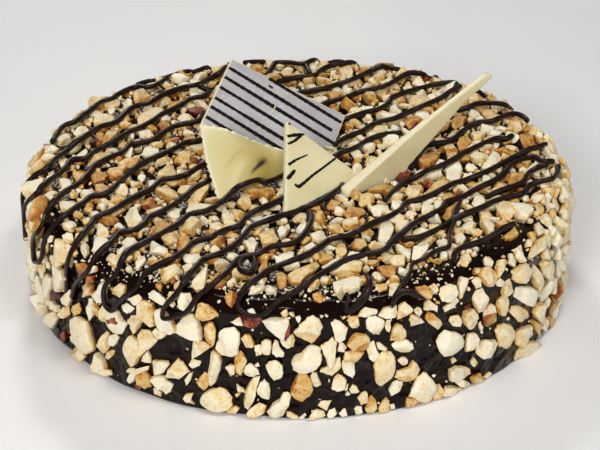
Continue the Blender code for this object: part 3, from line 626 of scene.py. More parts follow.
    (0.42, 0, 24.2, 34.5, 24.9, 37, 26, 35.5, 27.5, 32.5, 28, 30.5, 27.2, 28.7, 25.5, 31.5),
    (0.22, 0, 29.8, 30.5, 30.2, 32, 32, 31.5, 32.6, 29, 32.3, 27, 30.8, 28),
    (0.36, 0, 32.8, 30, 33.3, 32.6, 35, 32.5, 36, 30, 36.8, 26.5, 36, 24, 34.8, 24, 33.4, 27),
    (0.92, 0, 33.3, 33.4, 34.5, 34.5, 35, 33.5, 33.8, 32.8),
    (0.2, 0, 34.2, 21.5, 34.6, 23, 36.2, 22.3, 37, 19.5, 36.8, 17, 35.5, 15.7, 34, 16),
    (0.3, 0, 30.8, 14.5, 31.4, 15, 32, 13.5, 31.2, 12.3),
    (0.14, 0, 30, 11, 31.5, 11.5, 33.5, 10.5, 35.5, 8, 35.7, 5.5, 34, 5.2, 32, 5, 30.2, 6.5),
    (0.2, 0, 32, 4.5, 33.5, 4.8, 35, 3, 36, 1, 34.5, 0.5, 33.2, 2),
    (0.3, 0, 35.5, 10.5, 36.3, 12, 37, 10.5, 37.7, 8.5, 37, 7.3, 36, 8.8),
    (0.1, 0, 8.9, 9.5, 9.3, 10.5, 9.7, 9.5, 9.5, 8, 8.9, 8.5),
    (0.2, 0, 9.6, 11, 10.2, 13.2, 11, 12, 11.5, 10, 10.8, 9, 9.9, 9.3),
    (0.2, 0, 8.4, 11.3, 8.8, 13, 9.5, 13.5, 9.3, 11.5, 8.8, 10.3),
    (0.34, 0, 11.2, 7.5, 11.9, 9.2, 12.8, 9.7, 13.3, 8, 13.1, 5, 12, 4),
    (0.15, 0, 10.6, 3, 11.2, 4, 12.1, 3.5, 12.2, 0.8, 11.8, 0.2, 11, 0.5),
    (0.48, 0, 12.7, 2.5, 13.2, 6, 14, 7.8, 14.9, 5.5, 15, 2, 14.3, 0.3, 13.3, 0.3),
    (0.48, 0, 15.3, 1.5, 16, 4, 16.9, 5.8, 17.6, 4, 17.6, 0.5, 16.9, 0.2, 15.7, 0.3),
    (0.15, 0, 17.7, 2.5, 18.6, 2.5, 18.8, 0.5, 17.9, 0.3),
    (0.15, 0, 35.3, 36.5, 36.2, 39.2, 37.7, 39, 38.4, 35.5, 39.2, 31, 38, 28.8, 36.6, 30, 35.6, 34),
    (0.2, 0, 35.4, 43.5, 36.5, 44.5, 37.7, 42.5, 37.3, 40, 36, 40.3),
    (0.42, 0, 37.2, 44.2, 38.5, 46, 40.3, 46, 41.5, 43.5, 41.7, 40.5, 40, 38.3, 38.3, 39.5),
    (0.36, 0, 41.7, 41, 42, 44, 43.5, 46, 45.5, 45.3, 45.8, 44, 44, 43),
    (0.2, 0, 41, 38.5, 42.3, 40, 43.8, 37, 43.5, 35.6, 41.8, 36.5),
    (0.3, 0, 43.3, 33, 43.8, 36.8, 45.5, 37, 46.3, 34, 46.5, 31.5, 44.5, 31, 43.5, 31.5),
    (0.36, 0, 42, 28, 42.4, 30.5, 44, 31.5, 45.3, 30, 44.5, 26, 43.5, 24.3, 42.5, 25),
    (0.22, 0, 38.3, 29, 40, 31.2, 41.2, 29.5, 41.6, 27, 38.2, 27),
    (0.74, 0.2, 38.1, 26.5, 40, 27.4, 41.9, 26.5, 41, 22.5, 39.5, 22, 38.4, 23.5),
    (0.05, 0, 37.3, 25, 37.8, 25.5, 38.2, 22.5, 38.7, 20, 38.2, 20.8, 37.5, 23),
    (0.14, 0, 36.6, 14.3, 38, 17.2, 39.5, 16.6, 42, 14.8, 42.8, 12.8, 42.3, 10.5, 40.5, 9.2, 38.5, 10.3,
     37.2, 12.3),
    (0.34, 0, 41.8, 18.5, 42.5, 20.7, 44.5, 20, 46.2, 18, 47.2, 15, 47.8, 11, 47, 8.2, 45.3, 9, 43.2, 11.2,
     42.5, 14.5),
    (0.36, 0, 45.5, 23.8, 46.4, 25.2, 48.3, 24, 50.3, 21.8, 52.2, 18.6, 53, 15.6, 52.2, 15.2, 50, 16.9, 47.9,
     18.8, 46.6, 21.2),
    (0.1, 0, 46.7, 29, 47.5, 32, 49, 31.3, 52, 29, 54, 26.5, 54, 23.5, 52.8, 21, 51, 22.5, 48.5, 26),
    (0.2, 0, 48, 12, 49, 13.8, 51, 13.2, 53.5, 11.5, 55.3, 8.5, 55.3, 6, 53, 5, 50.5, 5, 48.6, 7.8),
    (0.3, 0, 46, 36.5, 46.3, 40.5, 48.5, 41, 50.5, 40, 51.3, 36, 50.8, 33, 49.5, 32.3, 47.5, 34),
    (0.1, 0, 45.8, 43.5, 47, 46, 48.2, 45.5, 48, 42.5, 46.5, 41.5),
    (0.2, 0, 48.3, 43.5, 49, 46.3, 51.3, 46.3, 50.8, 43.5, 50, 41, 48.7, 41.5),
    (0.32, 0, 52, 41, 54, 43.6, 56.4, 44.4, 59.4, 44.2, 60.3, 42.2, 57.8, 40.6, 54.6, 39.8, 52.3, 40.2),
    (0.3, 0, 52.6, 35.2, 53.4, 36.6, 54.8, 34.4, 55.6, 31, 56.7, 27.7, 57.9, 24.7, 57.9, 22.3, 57.1, 20.6,
     55.8, 21, 54.9, 23.2, 55, 26.1, 53.8, 29.4, 53, 32.3),
    (0.3, 0, 56.5, 33.5, 58, 34.5, 60, 33, 62, 30, 62.7, 26, 61.8, 23.8, 60, 25, 58, 28),
    (0.2, 0, 55, 15, 56, 17.8, 58, 17, 60, 14, 60, 9.5, 59, 7, 57.5, 9.5, 56, 12),
    (0.3, 0, 49, 0.8, 50, 4, 53, 5, 56, 3, 57.5, 0.5, 56, 0.2, 51, 0.2),
    (0.45, -0.3, 54, 12.5, 55.5, 12, 58, 8.5, 60, 4, 59.5, 1.5, 57, 5, 55.5, 8.5),
    (0.48, 0, 36, 3.5, 37, 4.2, 38.5, 4, 39.5, 1, 38.5, 0.2, 37.5, 0.2, 36.5, 1.5),
    (0.1, 0, 39.7, 1, 41, 2.5, 42.2, 0.4, 40.5, 0.3),
    (0.28, 0, -57.8, 42.5, -56.5, 44.8, -54.8, 45, -52.5, 43, -51.4, 41.5, -52, 38.5, -53.5, 36, -55, 36.2,
     -57, 38),
    (0.18, 0, -59, 29, -58, 33, -55.8, 35, -53.3, 34.8, -52.3, 32.5, -53.5, 28, -55, 24.5, -57.2, 22.8,
     -58.3, 24.5),
    (0.38, 0, -60, 32.5, -59.5, 35.5, -58, 36.5, -57.2, 34.5, -58.8, 31.5, -60, 31),
    (0.15, 0, -52, 39, -51, 42.3, -50.7, 40.5, -51, 37.6),
    (0.1, 0, -61.5, 42.5, -60, 43.4, -59.7, 41, -61, 39.3),
    (0.3, 0, -63.2, 36, -61.5, 39.5, -61, 37, -62.5, 33),
    (0.14, 0, -64, 19, -63.3, 23.5, -61.5, 26, -59.5, 26.5, -58.5, 27, -59.3, 22, -60.5, 19, -61.3, 15.8,
     -63.2, 15),
    (0.97, 0, -60.5, 20, -59, 22, -57, 22.5, -55.5, 22.8, -56, 20.3, -58, 18.5, -59.5, 17.6),
    (0.14, 0, -62, 13, -60, 16, -57.5, 16.5, -57.5, 14, -59, 12, -61.5, 11.2),
    (0.3, 0, -57.5, 13, -56, 16, -54.5, 18.7, -52.8, 19.8, -52.5, 17, -54, 14.5, -56, 12.5),
    (0.2, 0, -54.8, 22, -53.5, 25, -52, 27.5, -50.8, 26.5, -51.5, 23.5, -52.3, 20.5, -54.5, 20.3),
    (0.52, 0, -51.5, 19, -50.5, 22.5, -49, 24.7, -48.2, 23, -48.8, 20.5, -50.5, 18, -51.3, 17.3),
    (0.3, 0, -53, 1, -51.5, 4.5, -49.5, 5, -48, 3, -49, 0.5, -51, 0.3),
    (0.2, 0, -65, 5, -63, 8.5, -60, 11.5, -57.5, 11, -59, 7, -61, 3, -64, 1),
    (0.86, 0, -58.5, 1, -56.5, 6, -54.5, 9, -54.5, 5, -57, 0.5),
    (0.95, 0.6, -53.5, 9.8, -52.2, 11.5, -51.5, 12.2, -51.4, 10, -52.5, 8.8),
    (0.2, 0.3, -53, 7.5, -51.5, 9.5, -50.3, 8, -50.8, 5.5, -52, 5),
)
TOP_NUTS = (  # roast, raised by, corners: to the right and to the back of the cake's middle
    (0.04, 0, -70.3, -60.5, -68, -60, -65.5, -62.5, -64.6, -66, -66.5, -69.7, -70, -69.8, -71, -67),
    (0.08, 0, -61, -63, -59, -60, -56.5, -60.5, -54.7, -63, -55, -67, -56.5, -69, -59, -67.5),
    (0.12, 1, -38.7, -74, -36.5, -71.5, -34, -71, -33, -74, -34, -78, -36.5, -79.3, -38.5, -77),
    (0.7, 1, -42, -65, -41, -62, -38.5, -61.5, -36.8, -64.5, -38.5, -68.5, -41, -70.5),
    (0.18, 1, -40, -39, -36, -38.3, -30.5, -37.8, -30.3, -39.5, -34, -43, -38, -45.5, -40, -46),
    (0.42, 1, -40, -33, -38, -27, -34.8, -21.5, -32.5, -22.5, -32.8, -28, -35.5, -34, -39, -37.5),
    (0.4, 1, -52, -27, -50.5, -22.5, -48.5, -20.5, -46.5, -24, -44, -29, -43.3, -32, -45.5, -34, -48.5,
     -31.5),
    (0.66, 1, -58, -34.5, -55, -32, -52.5, -33, -50.5, -37, -52, -39, -55.5, -37.8),
    (0.2, 1, -61.5, -46, -60, -41, -57.5, -42, -56, -47, -54.5, -50, -57, -53.5, -59.5, -52.5),
    (0.62, 1, -52, -57, -50.5, -51.5, -46.5, -50.5, -44.3, -53.5, -46, -57.5, -50, -61),
    (0.14, 1, -70, -52, -68.5, -53, -66, -57, -65.5, -60, -67.5, -61, -70, -58),
    (0.52, 1, -21, -23, -18, -21, -14.5, -21, -12.8, -24, -14.5, -28, -17.5, -29, -20, -26.5),
    (0.14, 1, -27, -41, -26, -40, -24.5, -44, -24.3, -50, -26, -50.5, -27.2, -46),
    (0.46, 1, -23.5, -42, -21, -41, -18.5, -45, -20.5, -49.5, -22.5, -47),
    (0.25, 1, -31, -51.5, -28.5, -50.3, -26, -51, -26.3, -53.5, -29, -54.5, -31, -53.7),
    (0.46, 1, -13.8, -60, -12, -57.5, -8.5, -57.5, -6.8, -61, -8, -65, -10.5, -66.3, -13, -63.5),
    (0.08, 1, -19, -65, -17, -60, -15.3, -60.5, -14, -66, -15, -72.5, -16.5, -73.5, -17.5, -69),
    (0.1, 1, -7.3, -57, -5.5, -52.5, -3.5, -50, -3, -53, -4.5, -58.5, -6.5, -61),
    (0.14, 1, -55, -78, -54, -73.5, -52, -73, -51.3, -77, -53.5, -82, -54.8, -81.5),
    (0.3, 0, -66, -72.5, -64.5, -71, -61, -71.5, -60.3, -75, -62, -78, -64, -77),
    (0.36, 0, -68, -85, -66, -86.3, -62.5, -85, -60.5, -86.7, -61.5, -88.5, -65.5, -88.8, -68.2, -87.5),
    (0.25, 0, -35.5, -92, -34.5, -86, -32, -81.5, -30, -82, -30.3, -88, -31.5, -93.5, -34, -94.5),
    (0.25, 0, -20, -88.5, -17, -89, -14.3, -90, -15.5, -94, -18.5, -94),
    (0.1, 0, -12, -92, -10, -90.5, -7.8, -92.5, -7.3, -96, -10, -96.5),
    (0.58, 0, -7.8, -84, -6, -83, -4, -86, -4, -92, -6, -93.5, -7, -90),
    (0.44, 0.5, -4, -88, -1, -84, 3, -80.5, 6, -77, 7.3, -79.5, 5.5, -84.5, 2, -89, 0.5, -92.5, -2.5, -92),
    (0.2, 0.5, 8, -80, 11, -77, 15, -76.3, 19, -78.5, 21.5, -80, 20.5, -83.5, 16, -84, 11, -84.5),
    (0.48, 0.5, 12, -84.5, 14, -83, 19, -82.8, 20.5, -85, 18, -87.5, 13, -88),
    (0.08, 0, 11, -92, 12.5, -89, 17, -87.5, 20.5, -88.5, 20, -93, 17, -95.5, 14.5, -96, 13, -99.5, 11.8,
     -97),
    (0.2, 0, 24.3, -85, 25.5, -82.8, 27.5, -83, 28.7, -86.5, 27, -88.7, 25, -88),
    (0.56, 0, 24.8, -90.5, 27.5, -90, 29.5, -90.5, 29.5, -93.5, 26.5, -94.7),
    (0.76, 0.5, 26, -81, 28, -78.5, 32, -78.5, 33, -82, 31.5, -86.5, 28, -85.5),
    (0.1, 0.5, 33, -67, 36, -67, 38.5, -67.3, 38, -72, 37.5, -76, 35.5, -74, 33.5, -70),
    (0.08, 1, 39, -68, 41.5, -64.5, 44.3, -61.8, 44.5, -68, 43, -72.5, 39.5, -76.5, 38.3, -75),
    (0.14, 1, 27.5, -62, 28, -55, 30, -50, 32.3, -52, 33, -57, 31.5, -62, 29, -66.5),
    (0.42, 1, 9.7, -53, 11, -50.5, 13, -50.5, 15.5, -54, 16, -57, 13, -57.7, 10.5, -55.5),
    (0.1, 1, 25.5, -40, 28, -37.5, 32, -38, 32.5, -41, 30, -42, 28.5, -45, 26.5, -44),
    (0.08, 1, 43.5, -44, 44, -39, 45.5, -37, 48, -39, 48.3, -43, 46, -45.5),
    (0.1, 1, 62, -35, 64, -31.5, 66, -30.8, 67.3, -34, 65, -38.5, 63, -39),
    (0.34, 1, 70, -44, 71.5, -38, 73.5, -35.5, 76, -37.5, 76.5, -43, 74.5, -48, 72, -47.5),
    (0.1, 1, 75, -36.5, 78, -35, 81.5, -34.8, 82.5, -39, 83, -44, 80.5, -48.3, 77.5, -47.5),
    (0.26, 1, 63.5, -49, 64.5, -46.5, 67.5, -47, 68.3, -53, 67.5, -60, 65.5, -58, 64.5, -53.5),
    (0.14, 1, 56.5, -53, 58, -50, 60.5, -49.5, 62, -52.5, 60.5, -55.8, 57.5, -55),
    (0.1, 1, 53.5, -61, 54.5, -58.3, 56.5, -58.5, 57.5, -62, 56, -66, 54, -64.5),
    (0.32, 0, 54, -75, 55.5, -72, 57.5, -71.5, 58.5, -75, 57, -78.5, 55, -77.8),
    (0.52, 0.5, 70.5, -59.5, 73, -57, 75.3, -53.5, 76.8, -58, 74, -60.5, 71.5, -61),
    (0.46, 0, 84.5, -39, 85.5, -33, 87.5, -33.5, 88.5, -39, 87.3, -43.5, 85.3, -42.5),
    (0.22, 0, 84, -30, 85.5, -26, 88.5, -22.5, 89.8, -25, 88.5, -30, 86.5, -32.5, 84.5, -33),
    (0.36, 0, 92.5, -30, 94, -27.5, 96, -28, 96.3, -33, 94.5, -37.5, 93, -34),
    (0.2, 0, 84, -49, 86, -46.5, 88.5, -48.5, 88, -52.5, 86, -54.5, 84.5, -53),
    (0.42, 1, 21.5, -36, 22.5, -31, 25, -28.8, 27.5, -30, 27.3, -34, 25, -35.8, 22.5, -37.5),
    (0.56, 1, 25, -27, 27, -24, 31, -20.5, 34.5, -21.5, 35, -26, 32.5, -28.5, 30.5, -26.5),
    (0.36, 1, 38.8, -27, 41, -23, 45, -21, 45.5, -24.5, 43.5, -29, 40.5, -31),
    (0.48, 1, 45, -28, 47, -24.5, 51.5, -21.5, 55, -21.3, 54.5, -23.5, 50, -26.5, 47.5, -29.7),
    (0.58, 1, 51.5, -33, 52.5, -29, 56, -27.5, 58, -29.5, 56.5, -33, 53, -34.8),
    (0.42, 1, 70, -26.5, 73, -22.5, 77.5, -22.3, 80, -22.8, 77, -25.5, 73, -28),
    (0.74, 1, 50.5, -45.5, 53, -40.5, 56.5, -37, 57, -39.5, 54.5, -44.5, 52, -48),
    (0.66, 1, 16, -43, 18.5, -39.5, 22.5, -40.5, 24, -44, 21, -47.5, 17.5, -46.5),
    (0.62, 1, 10, -37, 12.5, -33, 15, -33, 15.3, -36.5, 13.5, -39.5, 11, -39.5),
    (0.46, 1, 12.5, -70, 13.5, -66.5, 16, -66, 16.5, -71, 14.5, -74, 13, -73),
    (0.46, 1, 17.5, -66, 19.5, -62.5, 22.5, -62, 23.5, -66, 21, -69.5, 18.5, -69),
    (0.54, 1, 6.5, -74.5, 8, -72, 11, -72.5, 12, -75.5, 9, -77.5, 7, -77.5),
    (0.16, 1, 3.5, -58, 6, -56, 9, -57, 9.5, -61, 7, -65, 4.5, -63),
    (0.16, 1, -7, -72.5, -4.5, -70.5, -1.5, -71.5, -1.5, -76, -4, -77, -6.5, -75.5),
    (0.04, 1, -8, -75, -6.5, -74.5, -4.5, -78, -5.5, -79.5, -7.5, -78),
    (0.66, 0.5, -13.5, -83, -12, -79, -10.5, -78.5, -10, -83, -11.5, -88.5, -13, -87.5),
    (0.1, 1, -12.5, -46, -11, -43.3, -8.5, -43.5, -7.5, -46.5, -9.5, -48.3, -11.7, -48),
    (0.32, 1, -64, 36, -62, 42, -60, 44, -56, 44.8, -53.8, 43, -55, 38, -58, 32.5, -61, 30, -63.5, 31.5),
    (0.26, 1, -81.3, 38, -79, 41, -75, 40.5, -73, 37, -73.5, 33.5, -77, 30.5, -80.5, 30.5),
    (0.5, 1, -71.5, -9, -70.5, -6, -66.5, -5.8, -64, -9, -65, -14.5, -68, -16.8, -71, -13.5),
    (0.36, 1, -68, -4.5, -65.5, -1, -62.5, 4, -60.3, 5, -60.2, 0, -61.5, -5.5, -65.5, -6.3),
    (0.04, 1, -60, 5, -58.5, 9, -56.5, 10, -53.5, 8.5, -53, 5, -55.5, 2, -58, 3),
    (0.1, 1, -59.5, -3, -57, -1.5, -55, 0.5, -54.5, -2.5, -57, -6, -58.8, -6.5),
    (0.3, 1, -66, 14, -64, 17.5, -62, 19.8, -60.3, 17.5, -60, 13, -63, 12.5),
    (0.46, 1, -47, 0, -45, 3.5, -43.5, 4.8, -41, 2, -40.8, -1, -44, -3.5, -47, -1.5),
    (0.36, 1, -52, -14, -51, -7, -49, -3, -47, -6, -45.5, -12, -46, -16, -49.5, -17, -52, -16.5),
    (0.54, 0, -84.5, -8, -82, -6, -78, -7.5, -77, -12, -79, -17.5, -82, -16, -84, -12),
    (0.48, 1, -78, 0, -76, 3, -72, 5.5, -70.5, 3, -73, -2, -77, -6, -79.5, -5, -79, -2),
    (0.14, 0.5, -86, 1.5, -84, 6.5, -81.5, 8.3, -80.3, 5, -81.5, 1, -84.5, 0.5),
    (0.32, 0, -91, 0, -89.5, 5, -88, 4, -86.5, -1, -87, -6, -88.5, -7, -90, -3),
    (0.14, 0, -88.5, -16.5, -87, -14.5, -84.5, -16, -83, -21, -83.8, -24, -86.5, -22, -88, -19.5),
    (0.2, 0, -86, -35, -84.5, -31.5, -81.5, -30.5, -80, -32.5, -80, -37, -82, -39.5, -85, -38.5),
    (0.1, 0.5, -79.5, -27, -77.5, -24, -75.5, -22, -74, -25, -73.5, -29.5, -76, -31.5, -78, -29.5),
    (0.52, 1, -74.5, -22, -72, -21, -69, -23.5, -68.5, -27.5, -71, -30.5, -73.5, -28),
    (0.68, 1, -77, -15, -75.5, -12, -72.5, -12.5, -70.5, -15, -71.5, -19, -75, -21),
    (0.42, 1, -76, 17, -74, 23, -71.5, 27, -70, 25, -70.5, 20, -72.5, 14, -75, 10, -76.5, 12),
    (0.68, 1, -79, 22, -77.5, 24, -75.8, 22, -75.5, 16, -76.3, 11.5, -78, 12.5, -78.8, 17),
    (0.62, 1, -53, 50, -51.5, 54.5, -48.5, 55.5, -47.3, 52, -49, 47, -51.5, 43, -53, 45.5),
    (0.9, 1, -44.5, 46, -43, 48.5, -40.5, 48.8, -37.5, 46, -38.5, 42, -41.5, 41.5, -44, 43),
    (0.2, 1, -48.5, 38, -46, 41, -43.3, 40.5, -41.5, 37, -42.5, 34.5, -46, 34),
    (0.68, 1, -52.5, 15, -51, 20, -47.5, 21, -46, 17.5, -47.5, 13.5, -51, 13),
    (0.64, 1, -45, 17.5, -43, 21, -40.5, 20, -38.5, 17, -41, 13.5, -44, 14),
    (0.74, 1, -55.5, 30, -54, 34, -51.5, 34.5, -50.5, 30, -52, 26, -54, 26.5),
    (0.3, 1, -62, -20, -60.5, -17.5, -58, -17.5, -57, -20, -58.5, -20.5, -60.8, -23),
    (0.14, 1, -61.5, -25, -60.5, -22, -59, -22.5, -58.3, -27, -59.5, -29.5, -61, -28),
    (0.04, 1, 54.5, -9, 56, -5.5, 58.5, -4.3, 60.5, -7, 60.8, -12, 59.5, -17.5, 57, -18.5, 54.5, -17),
    (0.14, 1, 60.5, -15, 62, -11, 64.5, -9.8, 66, -13, 63.5, -16.5, 61, -17),
    (0.14, 1, 62.5, -6.5, 63.5, -4, 65.5, -4, 67, -7, 65.5, -8.5, 63.5, -8.3),
    (0.08, 1, 70.5, -3.5, 72.5, 2, 74, 6.5, 77, 4.5, 77, 1.5, 74.5, -4, 72.5, -5),
    (0.66, 0.5, 73, 8.5, 76, 10.5, 80, 9, 84.5, 7, 83, 4.5, 78, 5, 74.5, 7),
    (0.64, 0, 86, 14, 86.5, 22, 88.5, 26, 91.5, 24, 91.8, 17, 91, 11, 88, 8, 86.5, 10),
    (0.6, 0.5, 77, -17, 79, -12.5, 83.5, -9.5, 86.3, -11, 86, -14.5, 83, -18, 80, -21.3, 77.5, -20),
    (0.26, 0, 87.5, -17, 89.5, -14, 92.5, -10.3, 95.5, -11, 94.5, -14.5, 91.5, -18, 88, -19),
    (0.36, 1, 45, 55, 48, 58, 52, 57, 54, 53, 52.5, 48.5, 48, 47.5, 45, 50.5),
    (0.74, 1, 42, 34, 44.5, 37, 47.5, 37.5, 49, 34.5, 46, 31, 43.5, 28),
    (0.58, 1, 60.5, 33, 62.5, 38, 65, 40.5, 67, 36, 65, 31, 61.5, 27, 60.5, 29.5),
    (0.46, 1, 73.5, 41, 75, 44, 79, 43.5, 80, 40, 78, 37.5, 74.5, 38),
    (0.36, 0.5, 82.5, 31, 84, 34, 87.5, 33.5, 88.5, 29, 86, 26, 83.5, 27.5),
    (0.42, 1, 72, 14.5, 74, 20, 76.5, 22.5, 77.5, 20, 76.5, 16, 74, 14),
    (0.14, 1, 80.5, 21, 81.5, 24.5, 84, 23, 86, 19, 84, 16, 81, 17),
    (0.42, 1, 53, 17, 55.5, 20, 59, 19, 58, 15.5, 55.5, 13.5, 53, 14.5),
    (0.64, 1, 45, -5, 47, 2, 50, 7, 53, 8, 54, 4, 52, -3, 49, -8, 46, -9),
    (0.62, 1, 56, 5, 58, 9, 61, 10, 61, 5, 59, 0, 56.5, 1),
    (0.2, 1, 65, 0.5, 67.5, 4.5, 71, 6.3, 73, 3, 70, -1.5, 67, -2),
    (0.64, 1, 61, 13, 63, 18, 66, 18.5, 67, 14.5, 64, 10.5, 61.5, 9),
    (0.26, 1, 67, 22, 69, 26, 72, 26.5, 73, 22, 71, 18, 68, 17.5),
    (0.2, 0, 91.5, 27, 92.5, 32, 94.5, 39, 97, 43, 98.8, 40, 98.2, 33, 96, 26, 93.5, 24),
    (0.92, 0.5, 35, -14, 37, -9.5, 40, -8.5, 42, -12, 40, -17, 36.5, -17),
    (0.24, 0, 8, 90, 9, 95, 12, 97.5, 16, 95, 16, 90, 13, 87.5, 10, 87.5),
    (0.3, 1, 17, 84, 18, 88, 21, 89, 23.5, 86, 22, 82, 19, 81),
    (0.18, 1, -8, 84, -7, 88, -4, 89, -2, 86, -3.5, 82, -6.5, 81.5),
    (0.42, 0.6, -22.1, -34.9, -20.1, -29.5, -17.5, -31.1, -16.7, -35.7, -19.1, -39.6),
    (0.6, 0.8, -15.4, -27.1, -13.3, -22.3, -9.7, -22.3, -8.5, -27.1, -11, -31.1, -13.9, -30.3),
    (0.3, 0.4, -26, -34.9, -24, -31, -22.1, -33.4, -23.4, -38),
    (0.25, 0.4, -27.1, -43.4, -24.8, -38, -22.2, -41.1, -22.4, -47.1, -25.5, -48.6),
    (0.3, 0.2, -21, -29, -19.5, -25.5, -16.5, -25, -15.5, -28, -18, -30.5),
    (0.62, 0, -24.7, -97.3, -22.5, -94.8, -20.2, -96, -20.7, -99.7, -22.6, -102.1, -24.2, -100),
    (0.6, 0, 4.5, -97.3, 6.3, -96, 8.8, -97.7, 7.5, -100.4, 5, -99.6),
    (0.62, 0.4, -10.5, -31, -9.5, -29.5, -7, -29.6, -5.6, -31.6, -6.6, -34, -9.4, -34.2),
    (0.3, 0.2, -25, -40, -23.5, -38, -20.5, -38.2, -19, -40.5, -20.5, -42.6, -23.6, -42.5),
    (0.5, 0.2, -17.5, -36.5, -16, -35, -13.8, -35.8, -14.2, -38.4, -16.6, -39),
)

SLANTS = (  # steepness and level, from and to, of the planes that cut a chip's top; the last leaves skin
    ((0.0, 0.3), (1.0, 1.0)), ((0.6, 1.5), (1.05, 1.5)), ((0.6, 1.6), (1.05, 1.5)),
)
# rings from the middle of a chip's top out, down and under: share of the outline, share of the top's height
LARGE = ((0.32, 1), (0.62, 1), (0.84, 1), (0.94, 0.97), (1.0, 0.78), (1.0, 0.35), (0.84, 0))
CHIP = ((0.4, 1), (0.75, 1), (0.93, 0.97), (1.0, 0.7), (1.0, 0.3), (0.8, 0))
CRUMB = ((0.6, 1), (1.0, 0.6), (0.7, 0))
# pale grains, partly real nut dust and partly standing in for painted glints on the glaze
DUST_AND_GLINTS = 1500  # grains
BREAK_ANGLE = 26  # edges that turn more than this stay sharp
RED_SKIN = 0.81  # a roast from which a piece is a dark red one
NOWHERE = 10.0  # a closeness that lets nothing lie
RIM_END = 110.3  # way out over the skin to where it turns straight down
laid_nuts = []  # the points of every nut piece, for what lies on them


def ringed(corners, around):
    """An outline as around points, evenly spaced along it, each corner taking the place of the nearest. It
    runs counter-clockwise."""
    p = np.concatenate([corners, corners[:1]])
    if (p[:-1, 0] * p[1:, 1] - p[1:, 0] * p[:-1, 1]).sum() < 0:
        p = p[::-1]
    far = np.concatenate([[0], np.cumsum(np.hypot(*np.diff(p, axis=0).T))])
    places = np.linspace(0, far[-1], around, endpoint=False)
    for corner in far[:-1]:
        places[np.argmin(np.abs(places - corner))] = corner
    places.sort()
    return np.stack([np.interp(places, far, p[:, k]) for k in range(2)], -1)


def flat_ways(normal):
    """Two directions square to each normal and to each other: the cross product with the z axis, or with y
    where the normal points up, and the cross product of the normal and that."""
    one = np.cross(np.where(normal[:, 2:] > 0.7, [0.0, 1.0, 0.0], [0.0, 0.0, 1.0]), normal)
    one /= np.linalg.norm(one, axis=1, keepdims=True)
    return one, np.cross(normal, one)


def chips(name, outlines, spot, normal, high, roast, domed, rings):
    """Chopped pieces as one mesh. Each has its own outline, flat broken sides and a top that is the least
    of a dome and three slanting planes. rings gives, from the middle of the top out, down and under, each
    ring's share of the outline and of the top's height there (0 for the underside). The tone is deeper
    down the sides, partly roast and partly painted shade, and on one of the planes, where some skin is
    left. Nothing goes below the floor."""
    count, around = outlines.shape[:2]
    one, two = flat_ways(normal)
    scale, of_top = (np.array(part, float) for part in zip(*rings))
    uneven = 1 + rng.normal(0, 0.03, (count, 1, around, 1))
    uneven = uneven + rng.normal(0, 0.012, (count, len(rings), around, 1))
    flat = outlines[:, None] * scale[:, None, None] * uneven
    flat = np.concatenate([flat.reshape(count, -1, 2), np.zeros((count, 2, 2))], 1)
    of_top = np.concatenate([np.repeat(of_top, around), [1.0, 0.0]])
    share = flat / np.hypot(outlines[..., 0], outlines[..., 1]).mean(1)[:, None, None]
    top = np.where(domed[:, None], 1.1 - 0.5 * (share ** 2).sum(-1), 1.6)
    skin = np.zeros(top.shape)
    for steep, level in SLANTS:
        aim = rng.uniform(0, 2 * math.pi, count)[:, None]
        plane = rng.uniform(*level, count)[:, None] - rng.uniform(*steep, count)[:, None] * (
            share[..., 0] * np.cos(aim) + share[..., 1] * np.sin(aim))
        skin = np.where(plane < top, float(steep == SLANTS[-1][0]), skin)
        top = np.minimum(top, plane)
    top = np.clip(top, 0.35, 1.3)
    z = np.where(of_top > 0, top * of_top, -0.3) * high[:, None]
    flat = flat + rng.normal(0, 0.17, (count, 1, 2)) * (z - 0.5 * high[:, None])[..., None]
    points = (spot[:, None, :] + flat[..., 0:1] * one[:, None, :] + flat[..., 1:2] * two[:, None, :]
              + z[..., None] * normal[:, None, :])
    points[..., 2] = np.maximum(points[..., 2], 0.0)
    ring_faces = grid_faces(len(rings), around, True)
    j = np.arange(0, around, 2)
    last = (len(rings) - 1) * around
    tip = np.full(len(j), last + around)
    over = np.stack([tip, j, j + 1, (j + 2) % around], -1)
    under = np.stack([tip + 1, last + (j + 2) % around, last + j + 1, last + j], -1)
    faces = np.concatenate([ring_faces, over, under])
    rows = faces[None] + (np.arange(count) * points.shape[1])[:, None, None]
    piece = mesh_piece(name, points.reshape(-1, 3), rows.reshape(-1, 4))
    piece.data.set_sharp_from_angle(angle=math.radians(BREAK_ANGLE))
    # darker down the sides: partly a deeper roast, partly painted shade where the sides turn from the light
    side_roast_and_shade = 0.17 * (of_top < 0.95) + rng.uniform(0, 0.2, count)[:, None] * skin
    tone = roast[:, None] + side_roast_and_shade + rng.normal(0, 0.035, top.shape)
    shade = piece.data.attributes.new("roast", "FLOAT", "POINT")
    shade.data.foreach_set("value", np.clip(tone, 0, 1).reshape(-1).astype(np.float32))
    piece.data.materials.append(nut_mat)
    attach(piece, "root")
    laid_nuts.append(points)
    return piece


